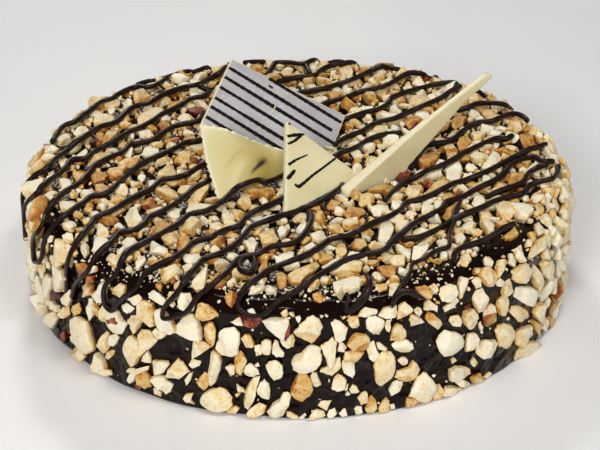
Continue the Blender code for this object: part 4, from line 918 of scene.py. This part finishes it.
def traced_chips(name, rows, around, turn_by=0.0, mirrored=1.0):
    """Chips whose outlines are typed in, each from half to seven tenths as high as its mean reach. The whole
    set can be mirrored and turned round the cake."""
    cos, sin = math.cos(math.radians(turn_by)), math.sin(math.radians(turn_by))
    typed = []
    for _, _, outline in rows:
        x, y = outline[:, 0] * mirrored, outline[:, 1]
        typed.append(np.stack([x * cos - y * sin, x * sin + y * cos], -1))
    middle = np.array([outline.mean(0) for outline in typed])
    spot, normal = wrap(middle[:, 0], middle[:, 1], np.full(len(rows), GLAZE_DOWN))
    one, two = flat_ways(normal)
    outlines = []
    for k, outline in enumerate(typed):
        corner, _ = wrap(outline[:, 0], outline[:, 1], np.full(len(outline), GLAZE_DOWN + 1.5))
        flat = np.stack([(corner - spot[k]) @ one[k], (corner - spot[k]) @ two[k]], -1)
        outlines.append(ringed(flat, around))
    outlines = np.array(outlines)
    reach = np.hypot(outlines[..., 0], outlines[..., 1]).mean(1)
    high = np.clip(reach * rng.uniform(0.5, 0.7, len(rows)), 1.0, 3.0)
    roast = np.array([row[0] for row in rows])
    roast = np.where(roast < RED_SKIN, 0.84 * roast, roast)
    round_ones = np.array([len(row[2]) > 9 for row in rows])
    spot = spot + np.array([row[1] for row in rows])[:, None] * normal
    return chips(name, outlines, spot, normal, high, roast, round_ones, LARGE)


def strewn_chips(name, uv, sizes, around, rings, thick, tilt, lift, roast, slimmest=0.5):
    """Chips with random outlines: four to seven corners about evenly round, each 0.38 to 0.6 of the size
    out, then the whole squeezed one way. They lie on the skin at their places, tilted and lifted at
    random."""
    count = len(sizes)
    spot, normal = wrap(uv[:, 0], uv[:, 1], GLAZE_DOWN + rng.uniform(*lift, count))
    normal = normal + rng.normal(size=(count, 3)) * tilt
    normal /= np.linalg.norm(normal, axis=1, keepdims=True)
    outlines = []
    for size in sizes:
        corners = rng.integers(4, 8)
        turn = (np.arange(corners) + rng.uniform(-0.32, 0.32, corners)) * 2 * math.pi / corners
        reach = size * rng.uniform(0.38, 0.6, corners)
        narrow, spin = rng.uniform(slimmest, 1.0), rng.uniform(0, math.pi)
        cos, sin = math.cos(spin), math.sin(spin)
        a, b = reach * np.cos(turn), reach * np.sin(turn) * narrow
        corner = np.stack([a * cos - b * sin, a * sin + b * cos], -1)
        outlines.append(ringed(corner - corner.mean(0), around))
    return chips(name, np.array(outlines), spot, normal, sizes * rng.uniform(*thick, count),
                 rng.beta(*roast, count) * 0.69, rng.uniform(0, 1, count) < 0.12, rings)


def round_the_side(corners):
    """Places on the unrolled skin from degrees round from the front and heights: on the rim the turn whose
    cosine gives the height, below it straight down."""
    turned_by, height = np.radians(corners[:, 0]), corners[:, 1]
    turn = np.arccos(np.clip((height - NUT_TOPS + RIM_TURN) / RIM_TURN, 0, 1))
    s = FLAT_RADIUS + RIM_TURN * turn + np.maximum(0, NUT_TOPS - RIM_TURN - height)
    return np.stack([s * np.sin(turned_by), -s * np.cos(turned_by)], -1)


def clear_of_plates(point, margin):
    """Which points are more than margin (a little less behind) from the four plates: outside the plate's
    outline grown by margin, or off its face, or behind its back."""
    free = np.ones(len(point), bool)
    fan_along = FAN_CORNERS[1] - FAN_CORNERS[0]
    fan_along /= np.linalg.norm(fan_along)
    fan_up = FAN_CORNERS[2] - FAN_CORNERS[0]
    fan_up -= fan_along * (fan_up @ fan_along)
    fan_up /= np.linalg.norm(fan_up)
    fan_stand = (FAN_CORNERS[0], fan_along, fan_up, np.cross(fan_along, fan_up))
    around = FAN_CORNERS[[0, 1, 3, 2]] - FAN_CORNERS[0]
    fan_outline = np.stack([around @ fan_along, around @ fan_up], -1)
    for stand, outline, front, behind in (
        (plaque_stand, plaque_corners(0.0), 0.0, PLAQUE_THICK),
        (triangle_stand, TRIANGLE_OUTLINE, 2.0, TRIANGLE_THICK),
        (shard_stand, SHARD_OUTLINE, 0.0, SHARD_THICK),
        (fan_stand, fan_outline, 0.4, 1.6),
    ):
        origin, along, up, out = stand
        local = point - origin
        a, b, c = local @ along, local @ up, local @ out
        line = np.array(outline, float)
        run = np.roll(line, -1, 0) - line
        outward = np.stack([run[:, 1], -run[:, 0]], -1) / np.linalg.norm(run, axis=1, keepdims=True)
        beyond = ((a[:, None] - line[None, :, 0]) * outward[None, :, 0]
                  + (b[:, None] - line[None, :, 1]) * outward[None, :, 1]).max(1)
        grow = 0.6 * margin + 0.2
        free &= (beyond > grow) | (c > front + grow) | (c < -behind - grow)
    return free


def spread(between, sizes, closeness, tries, taken=((), ())):
    """Places on the unrolled skin, from one s to another, for pieces of these sizes, largest first: each
    takes the first random place whose distance on the cake from all earlier ones is more than its closeness
    times the two half sizes. taken gives points and half sizes of what is already there. No piece lies on
    bare glaze."""
    low, high = between
    inner, rim = min(low, RIM_END), min(high, RIM_END)
    placed, half_sizes, kept_uv = np.array(taken[0]).reshape(-1, 3), np.array(taken[1], float), []
    for size in sizes:
        if low < FLAT_RADIUS:
            s = np.sqrt(rng.uniform(inner ** 2, rim ** 2, tries))
        else:
            s = rng.uniform(low, high, tries)
        turn = rng.uniform(0, 2 * math.pi, tries)
        uv = np.stack([s * np.cos(turn), s * np.sin(turn)], -1)
        point, _ = wrap(uv[:, 0], uv[:, 1], np.zeros(tries))
        gap = np.linalg.norm(point[:, None, :] - placed[None], axis=-1)
        close = closeness(uv[:, 0], uv[:, 1])
        free = (gap > close[:, None] * (half_sizes[None] + size / 2)).all(1)
        free &= (close < NOWHERE) & (bare(uv[:, 0], uv[:, 1]) < 0.5) & clear_of_plates(point, size / 2)
        found = np.flatnonzero(free)
        if len(found):
            placed = np.concatenate([placed, point[found[:1]]])
            half_sizes = np.append(half_sizes, size / 2)
            kept_uv.append(uv[found[0]])
    return np.array(kept_uv), 2 * half_sizes[len(taken[1]):]


BARE = (  # bare glaze on the unrolled skin: middle, half sizes, turn, as in the photo
    (10, -99, 33, 7, 3), (47, -83, 19, 7, 31), (72, -61, 18, 7, 49), (-26, -98, 15, 6.5, -15),
    (-88, -47, 6, 12, 5), (-66, -74, 12, 6.5, -60), (-55, -86, 10, 7, 35),
    (88, 96, 9, 6, -45), (-92, 60, 10, 5, 30), (12, 104, 16, 5, 0),
)


def bare(u, v):
    """How bare the glaze is at a place: 1.6 less 1.2 times the distance from an oval patch's middle in half
    sizes, held between 0 and 1, and the most of all patches."""
    found = np.zeros_like(u)
    for x, y, a, b, turn in BARE:
        c, s = math.cos(math.radians(turn)), math.sin(math.radians(turn))
        p, q = (u - x) * c + (v - y) * s, -(u - x) * s + (v - y) * c
        found = np.maximum(found, np.clip(1.6 - 1.2 * np.hypot(p / a, q / b), 0, 1))
    return found


nut_mat, tree, place = material("roasted_nut_meat")
# cream broken faces, golden to caramel where it roasted, darker down the sides partly in painted shade,
# with lines of 3 mm and pits of 0.8 mm in the meat
mottle = node(tree, "ShaderNodeTexNoise", {"Scale": 330.0, "Detail": 5.0, "Roughness": 0.62},
              {"Vector": place})
pits = node(tree, "ShaderNodeTexNoise", {"Scale": 1300.0, "Detail": 3.0}, {"Vector": place})
roast_and_side_shade = (node(tree, "ShaderNodeAttribute", settings={"attribute_name": "roast"}), "Fac")
flecks = node(tree, "ShaderNodeValToRGB", links={"Fac": pits},
              stops=((0.52, "000000"), (0.69, "6c6c6c"), (0.75, "c0c0c0")))
vary = node(tree, "ShaderNodeMath", {1: 0.6, 2: -0.33}, {0: mottle}, {"operation": "MULTIPLY_ADD"})
mottled = node(tree, "ShaderNodeMath", links={0: flecks, 1: vary}, settings={"operation": "ADD"})
tone = node(tree, "ShaderNodeMath", links={0: roast_and_side_shade, 1: mottled}, settings={"operation": "ADD"})
meat = node(tree, "ShaderNodeValToRGB", links={"Fac": tone},
            stops=((0.05, "fbf3dc"), (0.24, "f4e4bc"), (0.42, "e7c480"), (0.58, "ce9745"),
                   (0.73, "a8682a"), (0.82, "9c4c34"), (0.9, "7a2418"), (0.98, "47120d")))
dents = node(tree, "ShaderNodeBump", {"Strength": 0.9, "Distance": 0.0009}, {"Height": mottle})
grain = node(tree, "ShaderNodeBump", {"Strength": 0.5, "Distance": 0.0003},
             {"Height": pits, "Normal": dents})
shader = node(tree, "ShaderNodeBsdfPrincipled", {"IOR": 1.47, "Roughness": 0.42},
              {"Base Color": meat, "Normal": grain})
node(tree, "ShaderNodeOutputMaterial", links={"Surface": shader})


def on_top(u, v):
    """How close pieces lie on the top: overlapping, with small gaps where the glaze shows. It is 0.79, a
    little less to the right, plus a sine across times a sine back."""
    return 0.79 - 0.001 * u + 0.07 * np.sin(u * 0.13 + 1) * np.sin(v * 0.11)


def on_side(u, v):
    """How close scattered pieces lie on the side: 0.74 at the left and right, nowhere at the front and the
    back, where the typed ones and their copies lie."""
    from_front = np.degrees(np.arctan2(u, -v))
    traced = ((from_front > -60) & (from_front < 58)) | (np.abs(from_front) > 122)
    return np.where(traced, NOWHERE, 0.74)


def anywhere(u, v):
    """How close crumbs lie: the same all over."""
    return np.full_like(u, 0.7)


def many(*groups):
    """Sizes, largest first, from groups of (smallest, largest, how many)."""
    return np.sort(np.concatenate([rng.uniform(*group) for group in groups]))[::-1]


side_rows = [(row[0], row[1], round_the_side(np.array(row[2:], float).reshape(-1, 2))) for row in SIDE_NUTS]
# the pale pieces on the top are roasted a little more than they were read
top_rows = [(row[0] + 0.05 * (row[0] < 0.7), row[1], np.array(row[2:], float).reshape(-1, 2))
            for row in TOP_NUTS]
side = traced_chips("side_nuts_front", side_rows, 24)
side_back = traced_chips("side_nuts_back", side_rows, 20, 180.0, -1.0)
top_large = traced_chips("top_nuts_large", top_rows, 24)
# where the typed pieces lie: half way from the middle to each corner, with half that corner's distance
taken_points, taken_half = [], []
for row in top_rows + side_rows:
    corner, _ = wrap(row[2][:, 0], row[2][:, 1], np.zeros(len(row[2])))
    core = corner.mean(0)
    far = np.linalg.norm(corner - core, axis=1)
    taken_points.append(core * 0.5 + corner * 0.5)
    taken_half.append(far * 0.5)
taken = (np.concatenate(taken_points), np.concatenate(taken_half))

top_sizes = many((8, 11, 60), (6, 8, 330), (4.2, 6, 560), (3, 4.2, 560))
uv, sizes = spread((0, 106), top_sizes, on_top, 24, taken)
big = sizes > 5
top_nuts = strewn_chips("top_nuts_broken", uv[big], sizes[big], 12, CHIP,
                        thick=(0.24, 0.42), tilt=0.3, lift=(0.2, 1.2), roast=(1.3, 2.2))
top_small = strewn_chips("top_nuts_small", uv[~big], sizes[~big], 8, CHIP,
                         thick=(0.3, 0.5), tilt=0.4, lift=(0.4, 1.6), roast=(1.4, 2.1))
side_sizes = many((9, 12, 50), (6, 9, 260), (4, 6, 200), (2.5, 4, 150))
uv, sizes = spread((107, 146), side_sizes, on_side, 40, taken)
side_nuts = strewn_chips("side_nuts_scattered", uv, sizes, 12, CHIP,
                         thick=(0.22, 0.34), tilt=0.14, lift=(0, 0.3), roast=(1.2, 3.6))
uv, sizes = spread((0, 108), many((1.0, 2.5, 2300)), anywhere, 3, taken)
crumbs = strewn_chips("nut_crumbs", uv, sizes, 6, CRUMB,
                      thick=(0.3, 0.6), tilt=0.4, lift=(0, 1.8), roast=(1.5, 2.2), slimmest=0.4)
# pale grains, partly nut dust and partly painted glints on the glaze: all round the rim, most of them in
# front, a patch at the left front, and a third of them on the side
turn, s = rng.uniform(0, 2 * math.pi, DUST_AND_GLINTS), rng.normal(94, 3.5, DUST_AND_GLINTS)
turn[:420] = rng.normal(-1.72, 0.36, 420)
turn[420:560], s[420:560] = rng.normal(-2.15, 0.13, 140), rng.normal(98, 4.5, 140)
s[1000:] = rng.uniform(106, 146, DUST_AND_GLINTS - 1000)
uv = np.stack([s * np.cos(turn), s * np.sin(turn)], -1)
dust_and_glints = strewn_chips("nut_dust_and_glints", uv, rng.uniform(0.6, 1.22, DUST_AND_GLINTS) ** 2, 6, CRUMB,
                    thick=(0.2, 0.8), tilt=0.6, lift=(0, 0.3), roast=(0.5, 7), slimmest=0.25)
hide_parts("top_nut_layer")
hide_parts("side_nut_coat")

# ----------------------------------------------------------------------------------------------------
# The drizzle: dark chocolate melted and piped by hand in a zigzag, lying over the nuts and sagging between
# them. Two short curls of the glaze itself lie on the front rim.
DRIZZLE = (  # corners: to the right and to the back of the middle, on the unrolled skin
    (-55, 76, -59, 69, -63, 66, -67, 67, -70, 65, -74, 59, -76, 55, -80, 52, -83, 45, -86, 38, -89, 32, -93,
     30, -94, 24, -95, 15),
    (-47, 100, -46, 90, -51, 86, -60, 81, -64, 76, -67, 70),
    (-20, 103, -30, 102.5, -37, 97.5, -39, 92, -41, 86, -44.6, 82),
    (-29, 98, -30, 90, -32, 85, -34, 80, -37, 75, -42, 69, -46, 67, -50, 64, -54.6, 59.6, -58, 55, -61, 50,
     -65, 48, -68, 44, -70.5, 37, -73, 31, -78, 27.5, -82, 20, -86, 13, -88.5, 6, -91.5, -1, -94, -9, -97,
     -12, -110, -15, -121, -20, -120, -24, -108, -26, -96, -27, -94, -23.5, -90, -16.5, -87, -9, -85.5, -2.5,
     -80.5, -1, -77, 6, -73, 12, -69, 17.5, -66, 23, -62, 27, -58, 33, -54.6, 39, -50.4, 44, -47, 49, -44,
     54.6, -38.8, 57, -37, 62, -41, 67),
    (-38, 39.6, -39, 34, -41, 32, -47, 29, -50.4, 26, -54, 19.6, -57, 14.6, -62, 12, -64.6, 11, -67, 4.6,
     -71, 0.4, -74.6, -4, -76.5, -8, -78, -14, -80.4, -21.5, -84, -27, -87, -34, -90, -42, -92, -46.5, -96,
     -47, -102, -45, -111, -47, -108, -51, -105, -53.5, -98, -55, -91, -53.3, -86.7, -51, -82.5, -46.7, -80,
     -41.7, -77, -37, -74.6, -32, -70, -30, -66.5, -23, -64, -16, -61.3, -9.8, -58, -4.6, -54, 0.4, -50.4,
     4.6, -46, 9.6, -43, 13, -38.8, 14),
    (-35, -5, -37, -8, -41, -14, -46, -17.4, -50.5, -19, -53, -25, -57, -30, -61.5, -36, -66, -42.5, -71,
     -48, -72.5, -54, -75, -60.8, -79, -66, -84, -70, -89, -73.5, -92, -78, -88, -78, -84, -76.7, -78, -76.7,
     -73, -76, -69, -72.5, -65, -68, -63.3, -64, -61.7, -59, -58, -58, -54, -53, -52.5, -48, -47.5, -42.5,
     -44, -37.5, -40, -30, -37.5, -25, -33.3, -20, -33, -15),
    (-5.6, -15.6, -9.4, -19.1, -12.3, -20.7, -14.9, -19.1, -18.9, -21.5, -22.4, -25.5, -26.1, -33.4, -28.7,
     -38, -30.4, -40.3, -33.1, -43.4, -38.3, -46, -41, -51, -45, -56.7, -49, -61.7, -52.5, -66, -56.7, -71,
     -59, -76, -61.7, -81.7, -67.5, -84, -71, -86.7, -72.5, -90, -70.8, -92.5, -66.7, -91.7, -61.7, -90.4,
     -55, -89, -51, -85, -46.7, -81.7, -42.5, -77.5, -38.3, -71.7, -35.8, -66, -30, -62.5, -26, -58, -21,
     -54, -19, -49, -16, -44, -11.7, -40, -7.5, -36, -5, -33),
    (13.5, 0, 16.5, 4.5, 21.5, 8, 26, 14, 30, 18, 35, 20.4, 40, 21.3),
    (16, -23, 15, -26, 11.7, -31, 6.7, -37.5, 1.7, -41, -1, -44, -6.7, -47.5, -11.7, -51, -16.5, -55, -19,
     -62, -22.5, -69, -26.7, -74, -31.7, -77.5, -34, -83, -36.7, -89, -40, -94, -46, -98, -48.5, -101, -47.5,
     -102, -43, -102, -38, -101, -33, -96.7, -27.5, -92.5, -24, -86.7, -21.7, -81.7, -20, -78, -17.5, -76,
     -15, -75, -12.5, -73, -9, -69, -3.3, -67.5, 0, -64, 2.5, -59, 4, -53, 4.6, -49, 4, -44),
    (-17.5, -76, -19.5, -80, -19, -85, -16, -86.5, -14.5, -82, -15, -76),
    (95, 12, 92, 9, 88, 6.7, 84, 2.5, 79, -2.5, 73, -9, 68, -14, 61.7, -19, 57, -21.7, 52.5, -26, 48, -31,
     43, -35, 38.3, -37.5, 36, -42.5, 31.7, -47.5, 26.7, -51.7, 21.7, -56.7, 16.7, -61.7, 11, -64, 7.5, -69,
     2.5, -75, -3.3, -79.5, -9, -84, -12.5, -89, -17, -95, -20, -101, -18, -104, -15, -105.4, -11, -104.6,
     -5, -100, 0, -96.7, 4, -91.7, 8.3, -86.7, 12.5, -81.7, 16.7, -78, 21.7, -75, 26.7, -73, 30, -70, 33,
     -64, 37.5, -56.7, 41.7, -51, 46.7, -46, 51, -41.7, 53, -36.7, 59, -32.5, 63, -28, 67, -24, 72.5, -19,
     76.7, -12.5, 80, -6, 85, -1.7, 89, 0, 92, -4, 96, -3),
    (36, -64.5, 41, -63, 46, -59, 51, -54, 55, -49, 61, -44, 66, -40, 70, -36, 76, -32.5, 81, -30, 84, -24,
     87.5, -21, 93, -18, 96, -13, 97.5, -6),
    (68, -32.5, 73, -28, 77.5, -25, 82, -21, 85, -14, 89, -9, 93, -6),
    (75, -53, 71, -56, 67, -61, 62, -66, 57, -69, 53, -73, 52, -79),
    (31, -35, 35, -27, 39, -21, 44, -16, 48, -11, 53, -7.5, 58, -2.5, 62, 2.5, 66, 7, 70, 11, 74, 14.5, 77,
     16.5, 80, 15.8, 83, 19),
    (42, -9, 45, 0, 48, 8, 50, 11, 57, 13, 60.5, 17, 64, 23, 68, 28.5, 71.5, 31, 76, 32, 81, 36.5, 86, 40,
     90, 40, 91, 35),
    (64, 43, 68, 45.4, 73, 49.6, 78, 50, 82, 50.4, 89, 54),
    (74, 64, 77, 66, 79, 65, 80, 62.5),
    (67, 67, 63, 62, 58, 55, 53, 50, 48, 45, 43, 40, 38, 35, 32, 32, 28, 28, 25, 23, 20, 19, 16, 14.6, 14,
     11),
    (17, 33, 22, 37, 27, 41, 32, 44, 36, 49, 38, 55, 42, 59, 47, 63, 52, 66, 57, 69, 62, 70.4, 66, 72, 65,
     65),
    (11, 50, 15, 53, 20, 56, 25, 61, 30, 63, 35, 67, 39, 71, 43, 77, 47, 81, 52, 82.5, 56, 85.5, 57.5, 83,
     58, 77),
    (1.6, 61, 6.6, 63, 12, 65.4, 17, 69.6, 22, 74, 27, 79, 31, 84, 35, 88, 38, 92, 43, 90, 47, 92, 51, 97),
    (-8, 72, -3, 75, 2, 77, 7, 79, 10, 85, 14, 89, 20, 92, 23, 95, 27, 101),
    (-13, 80, -11, 88, -9.6, 92, -3.5, 92.5, 2, 91, 6, 95.5, 10, 103, 14, 100, 18, 96, 19, 93),
    (3, 90, 5, 80),
    (-23, 94, -18, 97, -12, 100.5, -8, 102),
)
HIDDEN_RUNS = (  # behind the plaque, guessed: each joins a run on its left to one on its right
    (-38, 39.6, -34, 44, -29, 47, -26, 52, -21, 56, -18, 61, -13, 65, -8, 72),
    (-38.8, 14, -34, 19, -29, 22, -26, 28, -21, 32, -18, 38, -13, 42, -9, 48, -4, 52, 1.6, 61),
    (-35, -5, -31, 0, -26, 3, -23, 9, -18, 13, -14, 19, -9, 23, -5, 29, 0, 33, 3, 39, 7, 43, 11, 50),
)
THIN_RUNS = (  # drawn thinner, from the middle out over the front rim
    (58, -36, 55, -45, 54, -53, 52, -60, 51, -69, 46, -72.5, 42, -77.5, 38, -81, 37, -86, 35, -91, 32, -96,
     31, -99.5),
)
GLAZE_CURLS = (  # thicker runs of glaze on the front rim
    (22.3, -87.7, 23.2, -92, 22.6, -96, 20.7, -99.7, 18.3, -102.4, 16.4, -103.6, 15.5, -102.1, 16.5, -100,
     15.5, -97.7),
    (31.2, -100.6, 32.1, -97.3, 34.4, -95.1, 36.8, -94.7, 39.8, -95.5, 42.2, -96),
)
MAP_REACH = 150  # the height map reaches this many millimetres out from the middle
PATH_STEP = 0.5
HOLD = 5  # steps each way over which the line stays as high as the highest nut
EASE = 7  # steps each way over which its height is averaged
LINE_RADIUS = 1.1
LOW_SHARE = 0.8  # a line that has run down past the rim is this much as thick
THIN_SHARE = 0.72
CAMERA_PLACE = np.array([0.0, -0.5438, 0.3140])  # metres


def smooth_path(corners, step):
    """The corners joined by a smooth curve (each stretch a cubic through its two corners, sloped along the
    line from the corner before to the corner after), then points on it step apart."""
    p = np.array(corners, float).reshape(-1, 2)
    q = np.concatenate([2 * p[:1] - p[1:2], p, 2 * p[-1:] - p[-2:-1]])
    t = np.linspace(0, 1, 12, endpoint=False)[None, :, None]
    a, b, c, d = (q[k:len(q) - 3 + k][:, None, :] for k in range(4))
    curve = 0.5 * (2 * b + (c - a) * t + (2 * a - 5 * b + 4 * c - d) * t ** 2
                   + (3 * b - a - 3 * c + d) * t ** 3)
    curve = np.concatenate([curve.reshape(-1, 2), p[-1:]])
    along = np.concatenate([[0], np.cumsum(np.linalg.norm(np.diff(curve, axis=0), axis=1))])
    even = np.arange(0, along[-1], step)
    return np.stack([np.interp(even, along, curve[:, k]) for k in range(2)], -1)


def lift_map(all_points):
    """The highest nut over each 1 mm square of the unrolled skin, as lift over the nut tops' level."""
    p = np.concatenate([part.reshape(-1, 3) for part in all_points])
    r = np.hypot(p[:, 0], p[:, 1])
    dr, dz = r - FLAT_RADIUS, p[:, 2] - (NUT_TOPS - RIM_TURN)
    turn = np.clip(np.arctan2(np.maximum(dr, 0), np.maximum(dz, 0)), 0, math.pi / 2)
    lift = np.where(dr < 0, p[:, 2] - NUT_TOPS, np.where(dz > 0, np.hypot(dr, dz) - RIM_TURN, dr - RIM_TURN))
    s = np.where(dr < 0, r, FLAT_RADIUS + turn * RIM_TURN + np.maximum(0, -dz))
    iu, iv = (np.clip((s * p[:, k] / (r + 1e-9) + MAP_REACH).astype(int), 0, 2 * MAP_REACH - 1)
              for k in range(2))
    heights = np.full((2 * MAP_REACH, 2 * MAP_REACH), GLAZE_DOWN)
    np.maximum.at(heights, (iu, iv), lift)
    return heights


def tube(path, radius, sides=10):
    """Points and faces of a closed tube along a path of points: rings square to the path, with a round cap
    at each end made of rings that shrink to nothing."""
    ahead = np.gradient(path, axis=0)
    ahead /= np.linalg.norm(ahead, axis=1, keepdims=True) + 1e-12
    cap_out, cap_wide = np.array([1.0, 0.86, 0.5, 0.0])[:, None], np.array([0.02, 0.5, 0.86, 0.98])
    lead = path[0] - ahead[0] * radius[0] * cap_out
    follow = path[-1] + ahead[-1] * radius[-1] * cap_out[::-1]
    spine = np.concatenate([lead, path, follow])
    way = np.concatenate([np.repeat(ahead[:1], 4, 0), ahead, np.repeat(ahead[-1:], 4, 0)])
    reach = np.concatenate([radius[0] * cap_wide, radius, radius[-1] * cap_wide[::-1]])
    side_way = np.cross(way, np.array([0.3, 0.1, 1.0]))
    side_way /= np.linalg.norm(side_way, axis=1, keepdims=True) + 1e-12
    up_way = np.cross(side_way, way)
    turn = np.linspace(0, 2 * math.pi, sides, endpoint=False)[None, :, None]
    ring = np.cos(turn) * side_way[:, None, :] + np.sin(turn) * up_way[:, None, :]
    points = spine[:, None, :] + ring * reach[:, None, None]
    return points.reshape(-1, 3), grid_faces(len(spine), sides, True)


heights = lift_map(laid_nuts)
drizzle_points, drizzle_faces, total = [], [], 0
for corners in DRIZZLE + HIDDEN_RUNS + THIN_RUNS + GLAZE_CURLS:
    line = smooth_path(corners, PATH_STEP)
    iu, iv = (line + MAP_REACH).astype(int).T
    near = np.max([heights[iu + a, iv + b] for a in (-1, 0, 1) for b in (-1, 0, 1)], axis=0)
    padded = np.pad(near, HOLD, mode="edge")
    held = np.max([padded[k:k + len(near)] for k in range(2 * HOLD + 1)], axis=0)
    padded = np.pad(held, EASE, mode="edge")
    laid = np.mean([padded[k:k + len(near)] for k in range(2 * EASE + 1)], axis=0)
    radius = LINE_RADIUS + 0.1 * np.sin(np.arange(len(line)) * 0.11 + len(line))
    radius = np.where(np.hypot(line[:, 0], line[:, 1]) > 100, LOW_SHARE * radius, radius)
    if corners in THIN_RUNS:
        radius = THIN_SHARE * radius
    if corners in GLAZE_CURLS:
        radius = (0.05 * len(corners) + 0.6) * (0.4 + 0.6 * np.sin(np.linspace(0, math.pi, len(line))))
    # the places were read at the nut tops' level, so the line is lifted along the line of sight
    centre, out = wrap(line[:, 0], line[:, 1], np.zeros(len(line)))
    sight = CAMERA_PLACE * 1000 - centre
    sight /= np.linalg.norm(sight, axis=1, keepdims=True)
    facing = np.clip((sight * out).sum(-1), 0.42, 1.0)
    # in front of the fan's foot it rides higher, on the nuts heaped there
    heaped = 3.2 * np.exp(-(((line[:, 0] + 18) ** 2 + (line[:, 1] + 26) ** 2) / 190) ** 2)
    centre = centre + sight * ((laid + heaped + radius * 0.2) / facing)[:, None]
    points, faces = tube(centre, radius)
    drizzle_points.append(points)
    drizzle_faces.append(faces + total)
    total += len(points)
drizzle = mesh_piece("piped_drizzle", np.concatenate(drizzle_points), np.concatenate(drizzle_faces))
drizzle_mat, tree, place = material("piped_dark_chocolate")
# set dark chocolate: brown-black, satin, a faint sheen from the light, a grain of 3 mm
fine = node(tree, "ShaderNodeTexNoise", {"Scale": 300.0, "Detail": 3.0}, {"Vector": place})
colour = node(tree, "ShaderNodeValToRGB", links={"Fac": fine}, stops=((0.3, "170b08"), (0.7, "26130e")))
grain = node(tree, "ShaderNodeBump", {"Strength": 0.3, "Distance": 0.0005}, {"Height": fine})
shader = node(tree, "ShaderNodeBsdfPrincipled", {"IOR": 1.36, "Roughness": 0.33},
              {"Base Color": colour, "Normal": grain})
node(tree, "ShaderNodeOutputMaterial", links={"Surface": shader})
drizzle.data.materials.append(drizzle_mat)
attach(drizzle, "root")

# ----------------------------------------------------------------------------------------------------
# The floor: plain, pale and painted, wide enough to fill the view and to show in the glaze. It lies 0.2 mm
# under the cake's foot and is no part of the cake.
FLOOR_CORNERS = [(-3000, -2500, -0.2), (3000, -2500, -0.2), (3000, 6000, -0.2), (-3000, 6000, -0.2)]
floor = mesh_piece("floor", FLOOR_CORNERS, [(0, 1, 2, 3)], False)
floor_mat, tree, place = material("pale_painted_floor")
# nearly white, dull paint with slight clouds 170 mm wide, which only keep it from looking flat
cloud = node(tree, "ShaderNodeTexNoise", {"Scale": 6.0, "Detail": 2.0}, {"Vector": place})
paint = node(tree, "ShaderNodeValToRGB", links={"Fac": cloud}, stops=((0.3, "f0f0f2"), (0.7, "f7f7f8")))
shader = node(tree, "ShaderNodeBsdfPrincipled", {"Roughness": 0.55}, {"Base Color": paint})
node(tree, "ShaderNodeOutputMaterial", links={"Surface": shader})
floor.data.materials.append(floor_mat)

# ----------------------------------------------------------------------------------------------------
# The light and the camera: a soft window low in front that isn't mirrored in the glaze, a weak one at the
# right, a small one behind for the glints on the flat top, and two thin strips and a window overhead for the
# bright lines along the rim. The camera stands at the photo's place.
WARM = (1, 0.99, 0.97)
LIGHTS = (  # metres: name, place, what it faces, width, height, watts, colour
    ("front_window", (-0.45, -1.28, 0.7), (0, 0, 0.02), 0.38, 0.38, 11.9, (1, 0.985, 0.955)),
    ("right_fill", (0.9, -0.5, 0.6), (0, 0, 0.02), 0.5, 0.5, 1.3, (0.98, 0.98, 1)),
    ("back_window", (-0.17, 0.87, 0.77), (0, 0, 0.04), 0.18, 0.18, 3.4, (1, 0.98, 0.94)),
    ("strip", (0.02, -0.34, 1.15), (0, 0, 0.03), 1.2, 0.02, 2.6, WARM),
    ("top_window", (0.34, -0.34, 1.15), (0.02, -0.09, 0.04), 0.26, 0.15, 2.5, WARM),
    ("low_strip", (-0.15, -1.1, 0.75), (0, 0, 0.03), 0.12, 0.03, 0.6, WARM),
)
for name, spot, target, width, height, watts, colour in LIGHTS:
    lamp = bpy.data.lights.new(name, "AREA")
    lamp.shape = "RECTANGLE"
    lamp.size = width
    lamp.size_y = height
    lamp.energy = watts
    lamp.color = colour
    holder = bpy.data.objects.new(name, lamp)
    bpy.context.scene.collection.objects.link(holder)
    holder.location = spot
    holder.rotation_euler = (Vector(target) - Vector(spot)).to_track_quat("-Z", "Y").to_euler()
    holder.visible_glossy = name != "front_window"
world = bpy.data.worlds.new("studio")
bpy.context.scene.world = world
world.use_nodes = True
sky = world.node_tree.nodes["Background"]
sky.inputs["Color"].default_value = (1.0, 0.95, 0.9, 1)
sky.inputs["Strength"].default_value = 0.13

eye = bpy.data.cameras.new("photo_camera")
eye.lens = 96.0
eye.sensor_width = 36.0
eye.clip_start = 0.01
camera = bpy.data.objects.new("photo_camera", eye)
camera.location = CAMERA_PLACE
camera.rotation_euler = (math.radians(61.55), 0.0, math.radians(-0.06))
bpy.context.scene.collection.objects.link(camera)
bpy.context.scene.camera = camera
bpy.context.scene.view_settings.view_transform = "Standard"
